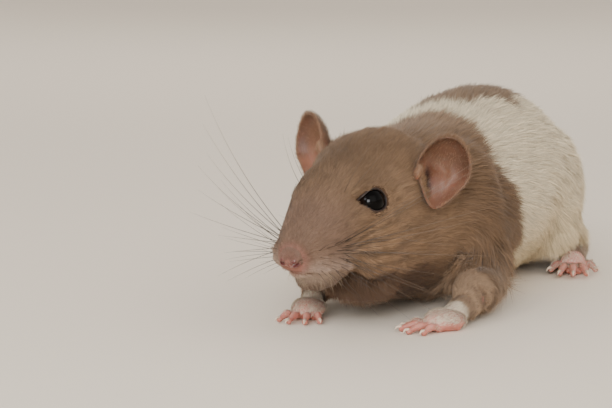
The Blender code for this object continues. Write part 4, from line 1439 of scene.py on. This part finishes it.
# %% The nose
NOSE_BALLS = (
    ((21.0, 0.0, -7.4), (2.6, 2.75, 2.5)),
    ((22.0, 1.4, -7.8), (1.75, 1.4, 1.6)),
    ((22.0, -1.4, -7.8), (1.75, 1.4, 1.6)),
)
CLEFT = ((23.8, 0.0, -9.6), (1.6, 0.24, 1.9))
NOSTRIL = ((24.4, 0.75, -8.5), (23.2, 1.6, -8.2), (22.2, 3.0, -7.1))
NOSTRIL_RADII = (0.54, 0.6, 0.3)
NOSTRIL_MIDDLE = (23.0, 1.8, -8.0)
NOSE_VOXEL, WING_PASSES, NOSE_PASSES = 0.13 * MM, 6, 4
# The nostrils' dark red is partly their skin's red and partly painted shade.
NOSE_PINK, NOSTRIL_RED_AND_SHADE = linear("#835249"), linear("#4f1d1e")


def bored(mesh, cutters):
    """The mesh with closed cutters taken out of it."""
    group = bpy.data.collections.new("cutters")
    for cutter in cutters:
        group.objects.link(bpy.data.objects.new("cutter", cutter))
    settings = {"operation": "DIFFERENCE", "operand_type": "COLLECTION", "collection": group}
    made = with_modifiers(mesh, ("BOOLEAN", settings))
    for cutter in list(group.objects):
        bpy.data.objects.remove(cutter)
    bpy.data.collections.remove(group)
    return made


def nose():
    """The bare tip of the nose, with its cleft and nostrils, painted, with painted shade deep in the
    nostrils.
    """
    soft = moulded([ball(centre, radii, head) for centre, radii in NOSE_BALLS], NOSE_VOXEL, WING_PASSES)
    cutters = [ball(*CLEFT, head)]
    for side in SIDES:
        spots = [head @ (sided(spot, side) * MM) for spot in NOSTRIL]
        radii = [radius * MM for radius in NOSTRIL_RADII]
        cutters.append(tubes([smooth_path(zip(spots, radii), 6)], 4))
    mesh = moulded([bored(soft, cutters)], NOSE_VOXEL, NOSE_PASSES)
    at_head = inside(head, coordinates(mesh))
    # The nostrils are painted dark red: partly the red of their skin and partly painted shade in their
    # hollows.
    depth = np.zeros(len(at_head))
    for side in SIDES:
        depth = np.maximum(depth, nearness(at_head, sided(NOSTRIL_MIDDLE, side), 0.7, 1.6))
    colours = mixed(NOSE_PINK, PINK, fade(at_head[:, 2], -8.0, -5.5))
    colours *= (1 + 0.12 * soft_noise(at_head, 0.9, 29))[:, None]
    paint(mesh, mixed(colours, NOSTRIL_RED_AND_SHADE, 0.9 * depth))
    return mesh


nose_mesh = nose()
new_piece("nose_pad", nose_mesh, nose_skin, ["nose"])

# %% Hair on the nose
# The top of the nose carries very short hair that thins out towards the nostrils.
NOSE_HAIRS, NOSE_HAIR_LENGTH, NOSE_HAIR_WIDTH, NOSE_HAIR_LIFT = 130.0, 1.0, 0.09, 0.4
at_head = inside(head, coordinates(nose_mesh))
hairs = sparse_hair(
    nose_mesh,
    NOSE_HAIRS * fade(at_head[:, 2] - 0.5 * at_head[:, 0], -20.1, -18.5),
    np.tile(way_in(head, (-1.0, 0.0, 0.2)), (len(at_head), 1)),
    np.full(len(at_head), NOSE_HAIR_LENGTH),
    NOSE_HAIR_WIDTH,
    NOSE_HAIR_LIFT,
    mixed(MUZZLE_TONE, PINK, fade(at_head[:, 0], 21.5, 26.0)),
    rng,
)
coat_piece("nose_hair", hairs, 2, unroll(inside(head, hairs["root"])[:, (2, 0, 1)]))

# %% [markdown]
# ## The ears
#
# A rat's ear is a thin, nearly bare cup. Light comes through it. It is painted orange-brown at the
# top, darker there as painted shade under the rim, and pink below. It could be a flat sheet bent
# round, but a real ear is deepest low down, near the canal, and its rim rolls out, so it starts as
# half an egg, is folded a little inside, and only then gets its thickness, about 0.3 mm.

# %% Ears
EAR_WALL = 0.28 * MM
EAR_LOBE = ((-1.5, 6.4, -0.5), (1.8, 1.1, 1.4))
# Painted shade darkens the orange at the top, under the rim, and the canal.
EAR_ORANGE_SHADED, EAR_PINK, EAR_CANAL_SHADE = linear("#573c2a"), linear("#765140"), linear("#1a0c0f")
# Painted light: the far ear's colours are painted brighter, where its inner wall is lit.
EAR_PAINTED_LIGHT = {LEFT: 1.0, RIGHT: 1.3}
EAR_RIM, EAR_FUR, EAR_RIM_SHADOW = linear("#8d6f56"), linear("#7a5d46"), linear("#463024")
LOBE_TONE = linear("#7d5a43")
# The rim is the outer share of the cup. It rolls out, by shares of the ear's size, and waves.
RIM_SHARE, RIM_RISE, RIM_FLARE, RIM_WAVE = 0.25, 0.02, 0.03, 0.35
EAR_HAIR_WIDTH, EAR_HAIR_LIFT = 0.07, 0.5


def ear_cup(side):
    """Half an egg that narrows to the canal, with the folds of the inner ear pressed in."""

    def build(bm):
        bmesh.ops.create_uvsphere(bm, u_segments=64, v_segments=44, radius=1.0)
        everything = [*bm.verts, *bm.edges, *bm.faces]
        bmesh.ops.bisect_plane(
            bm, geom=everything, dist=1e-6, plane_co=(0, 0, 0), plane_no=(0, 0, 1), clear_outer=True
        )
        for vert in bm.verts:
            tall, wide, deep = vert.co
            front = wide * side
            low = max(0.0, -tall)
            rim = 1 - min(1.0, -deep / RIM_SHARE)
            fold = 0.8 * ridge(tall, 0.12 + 0.25 * front, 0.17) * ridge(wide, 0.0, 0.55)
            fold += 0.8 * ridge(front, -0.30 + 0.3 * tall, 0.22) * ridge(tall, -0.25, 0.5)
            canal = 1.2 * ridge(tall, -0.36, 0.28) * ridge(front, 0.18, 0.20)
            vert.co.x = EAR_HALF_HEIGHT * tall * (1 + RIM_RISE * rim)
            vert.co.y = EAR_HALF_WIDTH * wide * (1 - EAR_TAPER * low) * (1 + RIM_FLARE * rim)
            bowl = EAR_DEPTH * deep * (1 - EAR_SHALLOWING * tall)
            vert.co.z = bowl + (fold - canal) * min(1.0, -deep)
            vert.co *= MM

    return made_by(build)


def ear_colours(points, side):
    """Orange-brown at the top and pink below, with painted shade under the rim and in the canal, and
    painted light on the far ear.
    """
    tall, front = points[:, 0] / EAR_HALF_HEIGHT, side * points[:, 1] / EAR_HALF_WIDTH
    # Painted shade inside the cup, under the rim at the top.
    under_rim_shade = fade(np.hypot(tall, front), 0.72, 0.88) * fade(tall, -0.3, 0.4)
    # Painted shade in the canal, where the hollow is deepest.
    canal = ridge(tall, -0.28, 0.30) * ridge(front, 0.18 + 0.45 * (tall + 0.36), 0.15)
    canal *= fade(points[:, 2], -0.6, -1.8)
    colours = layered(
        EAR_PINK,
        (EAR_ORANGE_SHADED, fade(tall, -0.35, 0.5)),
        (EAR_RIM_SHADOW, 0.55 * under_rim_shade),
        (EAR_CANAL_SHADE, 0.95 * np.clip(1.4 * canal, 0, 1)),
    )
    # Painted light on the far ear.
    colours *= (1 + 0.12 * soft_noise(points, 2.2, 33))[:, None] * EAR_PAINTED_LIGHT[side]
    on_lobe = distance_to(points, sided(EAR_LOBE[0], side)) < 2.4
    on_rim = fade(points[:, 2], -0.3, 0.0)
    return layered(colours, (EAR_RIM, 0.3 * on_rim), (LOBE_TONE, 0.8 * on_lobe))


def ear(side):
    """The ear's skin with its lobe. Its rim waves a little."""
    shell = with_modifiers(
        ear_cup(side),
        ("SOLIDIFY", {"thickness": EAR_WALL, "offset": 0.0}),
        ("SUBSURF", {"levels": 1, "render_levels": 1}),
    )
    lobe = ball(sided(EAR_LOBE[0], side), EAR_LOBE[1], Matrix.Identity(4))
    mesh = joined([shell, lobe])
    points = coordinates(mesh) / MM
    points[:, 2] += RIM_WAVE * soft_noise(points, 5.0, 31 + side) * fade(points[:, 2], -2.5, 0.0)
    move_points(mesh, points * MM)
    mesh.transform(ear_place(side))
    paint(mesh, ear_colours(points, side))
    mesh.shade_smooth()
    return mesh


def ear_hair(side, mesh):
    """Down on the back of the ear, a fringe on its rim and a few hairs inside."""
    at_ear = inside(ear_place(side), coordinates(mesh))
    facing_out = normals_of(mesh) @ np.array(ear_place(side).to_3x3())
    back = (np.sum(facing_out * at_ear, axis=1) > 0).astype(float)
    rim = fade(at_ear[:, 2], -0.9, -0.1)
    density = 12.0 * back + 20.0 * rim + 3.0
    flow = np.tile(way_in(ear_place(side), (1.0, 0.0, 0.35)), (len(at_ear), 1))
    colour = mixed(EAR_RIM * 1.1, EAR_FUR, back * (1 - rim))
    length = 1.1 + 0.9 * back * (1 - rim)
    return sparse_hair(mesh, density, flow, length, EAR_HAIR_WIDTH, EAR_HAIR_LIFT, colour, rng)


for side, side_name in SIDES.items():
    mesh = ear(side)
    new_piece("ear_cup_" + side_name, mesh, ear_skin, ["ear_" + side_name])
    hairs = ear_hair(side, mesh)
    spots = inside(ear_place(side), hairs["root"])[:, (0, 2, 1)]
    coat_piece("ear_down_" + side_name, hairs, 2, unroll(spots))

# %% [markdown]
# ## The feet
#
# Forefeet have four toes and hind feet have five, long and thin, with round pads under the joints
# and at the tips. They are moulded like the nose, from tubes and balls that overlap, in a fine voxel
# that keeps every toe apart. The claws are separate, because they are horn and not skin.

# %% Toes and claws
# Each toe: the degrees it fans out by, how far across and back it starts, and its length.
FINGERS = ((-26, -2.9, 0.6, 6.0), (-9, -1.0, 0.0, 7.6), (9, 1.1, 0.0, 7.6), (26, 2.9, 0.6, 6.0))
HIND_TOES = (
    (-30, -3.4, 3.5, 7.0),
    (-12, -1.9, 0.5, 10.5),
    (0, 0.0, 0.0, 11.0),
    (12, 1.9, 0.5, 10.5),
    (32, 3.4, 5.0, 6.5),
)
# Each knuckle: its place along the toe in toe lengths, and its rise and its size in toe radii.
KNUCKLES = ((0.22, 0.45, 0.84), (0.47, 0.62, 1.0), (0.74, 0.12, 0.76), (0.97, -0.3, 0.66))
FINGER_RADIUS, HIND_TOE_RADIUS = 1.05, 1.2
FINGER_CLAW, HIND_CLAW = 1.3, 2.2


def at(point):
    """A frame at a point, not turned."""
    return Matrix.Translation(point)


def toes_and_claws(start, heading, toes, radius, claw):
    """The toes that fan out from the front of a foot, and their claws, in metres."""
    forms, claws = [], []
    sideways = Vector((-heading.y, heading.x, 0))
    for degrees, across, back, length in toes:
        reach = Matrix.Rotation(math.radians(degrees), 3, "Z") @ heading * MM
        base = start + (sideways * across - heading * back) * MM
        lift = Vector((0, 0, radius * MM))
        joints = [(base - reach * radius * 1.5, 1.0)]
        joints += [(base + reach * length * along + lift * rise, size) for along, rise, size in KNUCKLES]
        forms.append(tubes([smooth_path([(spot, size * radius * MM) for spot, size in joints], 4)], 3))
        tip = base + reach * length * 0.93 - lift * 0.35
        forms.append(ball((0, 0, 0), [radius * 0.8] * 3, at(tip), 12, 8))
        nail = [
            (base + reach * (length - 0.5) + lift * 0.1, 0.42),
            (base + reach * (length + 0.45 * claw) + lift * 0.15, 0.3),
            (base + reach * (length + claw) - lift * 0.55, 0.05),
        ]
        claws.append(smooth_path([(spot, size * radius * MM) for spot, size in nail], 4))
    return forms, claws


# %% Forefeet and hind feet
HAND_TURN = {LEFT: math.radians(-24), RIGHT: math.radians(-4)}
PALM_RADII = (4.3, 5.6, 2.9)
# Where the pads are, across the foot and ahead, and their sizes.
PALM_PAD, SOLE_PAD = (1.3, 1.4, 1.2), (1.5, 1.7, 1.3)
PALM_PADS = ((-2.4, 2.6), (0.0, 3.2), (2.4, 2.6), (-1.9, -2.4), (1.9, -2.4))
SOLE_PADS = ((-3.0, -2.0), (-1.0, 0.5), (1.4, 0.5), (3.2, -2.5))
# Places and radii along the sole and the shank.
SOLE = (((24.8, 70.5, 5.4), 1.3), ((25.4, 67, 4.4), 3.9), ((28.0, 52, 3.6), 3.6), ((31.5, 37, 3.2), 3.9))
SHANK = (((25.2, 64, 6.5), 3.6), ((25.0, 58, 10.0), 4.6), ((24.5, 50, 13.0), 6.0))


def forefoot(side):
    """The forms of a hand with its wrist, and its claws."""
    palm = body_point(PALM[side])
    wrist = body_point(WRIST[side])
    along = (palm - wrist).normalized()
    level = Vector((along.x, along.y, 0)).normalized()
    heading = Matrix.Rotation(HAND_TURN[side], 3, "Z") @ level
    place = at(palm) @ heading.to_track_quat("Y", "Z").to_matrix().to_4x4()
    forms = [ball((0, 0, 0), PALM_RADII, place)]
    arm = [(wrist - along * 6 * MM, 2.2 * MM), (wrist, 2.7 * MM), (palm, 2.3 * MM)]
    forms.append(tubes([smooth_path(arm, 4)], 5))
    for across, ahead in PALM_PADS:
        forms.append(ball((across, ahead, -1.4), PALM_PAD, place, 16, 10))
    start = palm + heading * 3.8 * MM - Vector((0, 0, 1.4 * MM))
    toes, claws = toes_and_claws(start, heading, FINGERS, FINGER_RADIUS, FINGER_CLAW)
    return forms + toes, claws


def hind_foot(side):
    """The forms of a hind foot with the end of its shank, and its claws."""
    heading = Vector((3.0 * side, -14.0, 0)).normalized()
    start = body_point(TOES, side)
    forms = [limb(SOLE, side, 5), limb(SHANK, side)]
    for across, ahead in SOLE_PADS:
        pad = start + (Vector((-heading.y, heading.x, 0)) * across * side + heading * ahead) * MM
        forms.append(ball((0, 0, -0.7), SOLE_PAD, at(pad), 16, 10))
    toes = [(degrees * side, across * side, back, length) for degrees, across, back, length in HIND_TOES]
    more, claws = toes_and_claws(start, heading, toes, HIND_TOE_RADIUS, HIND_CLAW)
    return forms + more, claws


# %% The skin and the hair of the feet
FOOT_VOXEL, FOOT_PASSES = 0.29 * MM, 4
FOOT_HAIRS = {"forefoot_": 40.0, "hind_foot_": 15.0}
FOOT_HAIR_WIDTH, FOOT_HAIR_LIFT = 0.13, 0.24
FOOT_PINK, FOOT_DEEP, CLAW_TONE = linear("#c68e80"), linear("#ad6d5f"), linear("#cdb9a4")


def foot_mesh(forms):
    """The moulded foot, pressed flat where it stands on the floor, and painted."""
    mesh = moulded(forms, FOOT_VOXEL, FOOT_PASSES)
    points = coordinates(mesh)
    points[:, 2] = np.maximum(points[:, 2], 0.0)
    move_points(mesh, points)
    tone = 0.5 + 0.3 * soft_noise(points, 2.5 * MM, 41) + 0.5 * fade(points[:, 2], 2.5 * MM, 0.5 * MM)
    paint(mesh, mixed(FOOT_PINK, FOOT_DEEP, np.clip(tone, 0, 1)))
    return mesh


def foot_hair(mesh, start, end, colour, most):
    """Hair on the upper side of a foot, from the wrist or heel to the roots of the toes."""
    start, end = (np.array(spot) for spot in (start, end))
    places = coordinates(mesh)
    way = (end - start) / np.linalg.norm(end - start)
    ahead = (places - end) @ way / MM
    density = np.maximum(fade(normals_of(mesh)[:, 2], -0.35, 0.35), fade(ahead, -3.0, -6.0))
    density *= most * fade(ahead, 6.5, 2.5)
    flow = np.tile(way, (len(places), 1))
    length = 1.1 + 1.0 * fade(ahead, 4.0, -6.0) + 1.2 * fade(ahead, -5.0, -9.0)
    return sparse_hair(mesh, density, flow, length, FOOT_HAIR_WIDTH, FOOT_HAIR_LIFT, colour, rng)


all_claws = []
for side, side_name in SIDES.items():
    hand_ends = (body_point(WRIST[side]), body_point(PALM[side]))
    foot_ends = (body_point(HEEL, side), body_point(TOES, side))
    kinds = (("forefoot_", forefoot, hand_ends), ("hind_foot_", hind_foot, foot_ends))
    for part, shape, ends in kinds:
        forms, claws = shape(side)
        mesh = foot_mesh(forms)
        all_claws += claws
        new_piece(part + "skin_" + side_name, mesh, bare_skin, [part + side_name])
        places = coordinates(mesh)
        white = np.tile(HAND_WHITE, (len(places), 1))
        colour = coat_colour_with_painted_light(places) if shape is forefoot else white
        hairs = foot_hair(mesh, *ends, colour, FOOT_HAIRS[part])
        spots = inside(at(ends[1]), hairs["root"])
        coat_piece(part + "hair_" + side_name, hairs, 2, unroll(spots))

claw_mesh = tubes(all_claws, 3)
paint(claw_mesh, np.tile(CLAW_TONE, (len(claw_mesh.vertices), 1)))
new_piece("claws", claw_mesh, claw_horn)

# %% [markdown]
# ## The tail
#
# The tail is a slim cone ringed with small scales, about a ring for each millimetre. The rings are
# real geometry, because they show in its outline: every ring rises gently and steps down into a
# groove. It leaves the rump, turns round to the rat's right and lies along the body on the floor.

# %% The tail
TAIL_LENGTH, TAIL_BASE, TAIL_TIP = 172.0, 4.9, 1.1
TAIL_STRAIGHT, TAIL_DESCENT, TAIL_TURN_RADIUS, TAIL_TURN = 6.0, 32.0, 24.0, math.radians(182.0)
RING_LENGTH = 1.15
RING_SHAPE = ((0.0, 0.99), (0.5, 1.015), (0.82, 1.035), (0.97, 0.975))
TAIL_INSIDE = 6.0
TAIL_PINK, TAIL_GREY = linear("#cf9f90"), linear("#a87f72")


def tail_radius(distance):
    """The tail's radius so far from its root, in millimetres."""
    share = max(0.0, distance / TAIL_LENGTH)
    return TAIL_BASE + (TAIL_TIP - TAIL_BASE) * share**0.8


def tail_point(distance):
    """The middle of the tail so far from its root: back, round to the right, then forward."""
    drop = min(1.0, max(0.0, distance / TAIL_DESCENT))
    height = TAIL_ROOT[2] + (tail_radius(distance) - 0.1 - TAIL_ROOT[2]) * (3 - 2 * drop) * drop**2
    turned = min(max(0.0, (distance - TAIL_STRAIGHT) / TAIL_TURN_RADIUS), TAIL_TURN)
    straight = min(distance, TAIL_STRAIGHT)
    beyond = max(0.0, distance - TAIL_STRAIGHT - TAIL_TURN * TAIL_TURN_RADIUS)
    x = -TAIL_TURN_RADIUS * (1 - math.cos(turned)) - beyond * math.sin(TAIL_TURN)
    y = TAIL_ROOT[1] + straight + TAIL_TURN_RADIUS * math.sin(turned) + beyond * math.cos(TAIL_TURN)
    return body_point((x, y, height))


def tail():
    """The ringed tail, with a rounded tip."""
    stations = []
    rings = int((TAIL_LENGTH + TAIL_INSIDE) / RING_LENGTH)
    for ring in range(rings):
        for part, swell in RING_SHAPE:
            distance = -TAIL_INSIDE + (ring + part) * RING_LENGTH
            stations.append((distance, tail_radius(distance) * swell))
    stations.append((TAIL_LENGTH + 0.3, 0.35))
    return tubes([[(tail_point(distance), radius * MM) for distance, radius in stations]], 8)


tail_mesh = tail()
tail_points = coordinates(tail_mesh)
tail_points[:, 2] = np.maximum(tail_points[:, 2], 0.0)
move_points(tail_mesh, tail_points)
blotch = np.clip(0.45 + 0.5 * soft_noise(tail_points, 9 * MM, 51), 0, 1)
paint(tail_mesh, mixed(TAIL_PINK, TAIL_GREY, blotch))
new_piece("tail_skin", tail_mesh, bare_skin, [f"tail_{number}" for number in range(1, 6)])

# %% [markdown]
# The coat runs out over the first centimetre of the tail. Beyond it the tail isn't quite bare: short
# stiff bristles stand between the scales all the way to the tip, and they all point backwards.

# %% Bristles on the tail
BRISTLE_COAT = 12.0
BRISTLE_HAIRS, COAT_GAIN = 0.9, 9.0
BRISTLE_LENGTH, COAT_LENGTH_GAIN = 1.3, 1.9
BRISTLE_WIDTH, BRISTLE_LIFT = 0.07, 0.35
BRISTLE_TONE = linear("#b79c86")
tail_stations = np.arange(-TAIL_INSIDE, TAIL_LENGTH, 1.0)
tail_line = np.array([tail_point(distance) for distance in tail_stations])
station_tree = kdtree.KDTree(len(tail_line))
for number, spot in enumerate(tail_line):
    station_tree.insert(spot, number)
station_tree.balance()
nearest = np.array([station_tree.find(spot)[1] for spot in tail_points])
at_root = fade(tail_stations[nearest], BRISTLE_COAT, 2.0)
bristles = sparse_hair(
    tail_mesh,
    BRISTLE_HAIRS + COAT_GAIN * at_root,
    np.gradient(tail_line, axis=0)[nearest],
    BRISTLE_LENGTH + COAT_LENGTH_GAIN * at_root,
    BRISTLE_WIDTH,
    BRISTLE_LIFT,
    mixed(BRISTLE_TONE, CREAM_WARM, at_root),
    rng,
)
coat_piece("tail_bristles", bristles, 2, unroll(inside(body, bristles["root"])))

# %% [markdown]
# ## Whiskers
#
# Whiskers grow in rows on the pads beside the nose, short in front and long behind, and a few stand
# over the eyes and on the cheeks. Each is a smooth hair, thickest at its root, that leaves sideways
# and sweeps back. Curves with a radius at each point make them, and become one mesh on each side.

# %% Whiskers
WHISKER_ROWS, WHISKERS_A_ROW = 5, 5
WHISKER_ROOT, WHISKER_TIP = 0.09, 0.015
WHISKER_STEPS = 14
WHISKER_SEED = 61
SHORTEST_WHISKER, WHISKER_GAIN = 8.0, 32.0
WHISKER_WAYS = {LEFT: (0.25, 0.50), RIGHT: (0.50, 0.72)}
WHISKER_DARK, WHISKER_PALE = linear("#2c2018"), linear("#85705c")
PAD_MIDDLE = (15.0, 7.0, -8.5)
# The root, the way and the length of each whisker that stands alone: two over the eye, one behind.
LONE_WHISKERS = (
    ((6.5, 6.4, 6.0), (0.15, 0.45, 0.85), 12.0),
    ((3.0, 7.2, 6.0), (-0.1, 0.6, 0.8), 10.0),
    ((-6.0, 13.5, -9.0), (-0.4, 0.9, -0.3), 12.0),
)
LONE_SWEEP = (-0.6, 0, 0.1)


def follicle(down, back):
    """A follicle on the left pad, from shares of the way down the rows and back along a row."""
    return Vector((18.2 - 8.0 * back, 5.2 + 3.2 * back, -6.0 - 5.4 * down + (0.4 + 0.8 * down) * back))


def whisker(root, out, length, sweep, rng):
    """Points along one whisker in the head's frame, which bends back and down along its length."""
    path = []
    sweep = Vector(sweep) * rng.uniform(0.8, 1.2)
    for step in range(WHISKER_STEPS + 1):
        t = step / WHISKER_STEPS
        spot = root + out * (length * t - 0.8 * (1 - t)) + sweep * (length * 0.5 * t * t)
        radius = (WHISKER_ROOT + (WHISKER_TIP - WHISKER_ROOT) * t) * (0.6 + 0.4 * min(1.0, length / 30))
        path.append((head @ (spot * MM), radius * MM))
    return path


def whisker_paths(side, rng):
    """The paths of the whiskers on one side, row by row, and of the ones that stand alone."""
    paths = []
    ahead, rise = WHISKER_WAYS[side]
    for row in range(WHISKER_ROWS):
        for place in range(WHISKERS_A_ROW):
            down, back = row / (WHISKER_ROWS - 1), place / (WHISKERS_A_ROW - 1)
            out = Vector((ahead - 0.55 * back, 0.85, rise - 1.1 * down)).normalized()
            out += Vector(rng.normal(0, 0.07, 3))
            length = (SHORTEST_WHISKER + WHISKER_GAIN * back**0.8) * (1 - 0.35 * down)
            length *= rng.uniform(0.85, 1.1)
            root = sided(follicle(down, back), side)
            sweep = sided((-0.45, 0.0, 0.05 - 0.3 * down), side)
            paths.append(whisker(root, sided(out, side), length, sweep, rng))
    for spot, out, length in LONE_WHISKERS:
        paths.append(whisker(sided(spot, side), sided(out, side), length, LONE_SWEEP, rng))
    return paths


rng = np.random.default_rng(WHISKER_SEED)
for side, side_name in SIDES.items():
    mesh = tubes(whisker_paths(side, rng), 1)
    out = distance_to(inside(head, coordinates(mesh)), sided(PAD_MIDDLE, side))
    paint(mesh, mixed(WHISKER_DARK, WHISKER_PALE, 0.7 * fade(out, 10.0, 36.0)))
    new_piece("whiskers_" + side_name, mesh, whisker_hair)

# %% [markdown]
# ## Floor and light
#
# The rat rests on a plain pale floor that is level under it and curves gently up all round, as a
# photographer's paper roll does, so no horizon cuts the picture. The light is that of a bright room:
# a window near the camera, as the glint in the eye shows, two smaller panes beside it, a larger and
# weaker lamp to its right, a weak one behind, and a pale surround.

# %% Floor
FLOOR_FLAT, FLOOR_CURVE, CURVE_END, CURVE_STEPS = 0.8, 6.0, math.radians(36), 24
PAPER = linear("#f2e6d5")


def paper_floor(bm):
    """The paper's profile, spun round the rat."""
    profile = [Vector((0, 0, 0)), Vector((FLOOR_FLAT, 0, 0))]
    for step in range(1, CURVE_STEPS + 1):
        bend = CURVE_END * step / CURVE_STEPS
        rise = FLOOR_CURVE * (1 - math.cos(bend))
        profile.append(Vector((FLOOR_FLAT + FLOOR_CURVE * math.sin(bend), 0, rise)))
    verts = [bm.verts.new(spot) for spot in profile]
    edges = [bm.edges.new(pair) for pair in zip(verts, verts[1:])]
    bmesh.ops.spin(
        bm, geom=verts + edges, cent=(0, 0, 0), axis=(0, 0, 1), angle=math.tau, steps=96, use_merge=True
    )


floor_mesh = made_by(paper_floor)
floor_mesh.flip_normals()
floor_paint = new_material(
    "matt_paper", {"Base Color": (*PAPER, 1.0), "Roughness": 0.9, "Specular IOR Level": 0.2}
)
floor = bpy.data.objects.new("floor", floor_mesh)
floor_mesh.materials.append(floor_paint)
bpy.context.scene.collection.objects.link(floor)
print("floor:", len(floor_mesh.polygons), "faces")

# %% Lamps
DAYLIGHT, LAMPLIGHT, WALL_LIGHT = (0.97, 0.98, 1.0), (1.0, 0.96, 0.92), (1.0, 0.97, 0.93)
# Each lamp's name, its place from the head, its width in metres, its watts and its colour.
LAMPS = (
    ("window", (0.32, -1.21, 0.36), 0.42, 16.0, DAYLIGHT),
    ("upper_window", (-0.18, -1.12, 0.63), 0.30, 3.0, DAYLIGHT),
    ("side_window", (-0.89, -0.95, 0.20), 0.30, 1.5, DAYLIGHT),
    ("room", (0.95, -0.85, 0.70), 1.2, 5.0, LAMPLIGHT),
    ("behind", (-0.5, 1.3, 0.9), 1.2, 5.0, WALL_LIGHT),
)


def soft_lamp(name, offset, size, watts, colour):
    """A square lamp that looks at the head from an offset in metres."""
    data = bpy.data.lights.new(name, "AREA")
    data.size = size
    data.energy = watts
    data.color = colour
    lamp = bpy.data.objects.new(name, data)
    lamp.location = head.translation + Vector(offset)
    lamp.rotation_mode = "QUATERNION"
    lamp.rotation_quaternion = (-Vector(offset)).to_track_quat("-Z", "Y")
    bpy.context.scene.collection.objects.link(lamp)


for lamp in LAMPS:
    soft_lamp(*lamp)
print("lamps:", len(LAMPS))

# %% The surround
# The room's walls are brighter than its ceiling.
WALL_GLOW, CEILING_GLOW = 1.35, 0.55
WALL_TONE = (1.0, 0.955, 0.90, 1.0)
world = bpy.data.worlds.new("surround")
world.use_nodes = True
background = world.node_tree.nodes["Background"]
background.inputs["Color"].default_value = WALL_TONE
way = add(world, "ShaderNodeTexCoord", {})
up = add(world, "ShaderNodeSeparateXYZ", {"Vector": way.outputs["Generated"]})
glow = add(
    world,
    "ShaderNodeMapRange",
    {"Value": up.outputs["Z"], "To Min": WALL_GLOW, "To Max": CEILING_GLOW},
)
world.node_tree.links.new(glow.outputs["Result"], background.inputs["Strength"])
bpy.context.scene.world = world
print("surround:", world.name)

# %% The end
import json
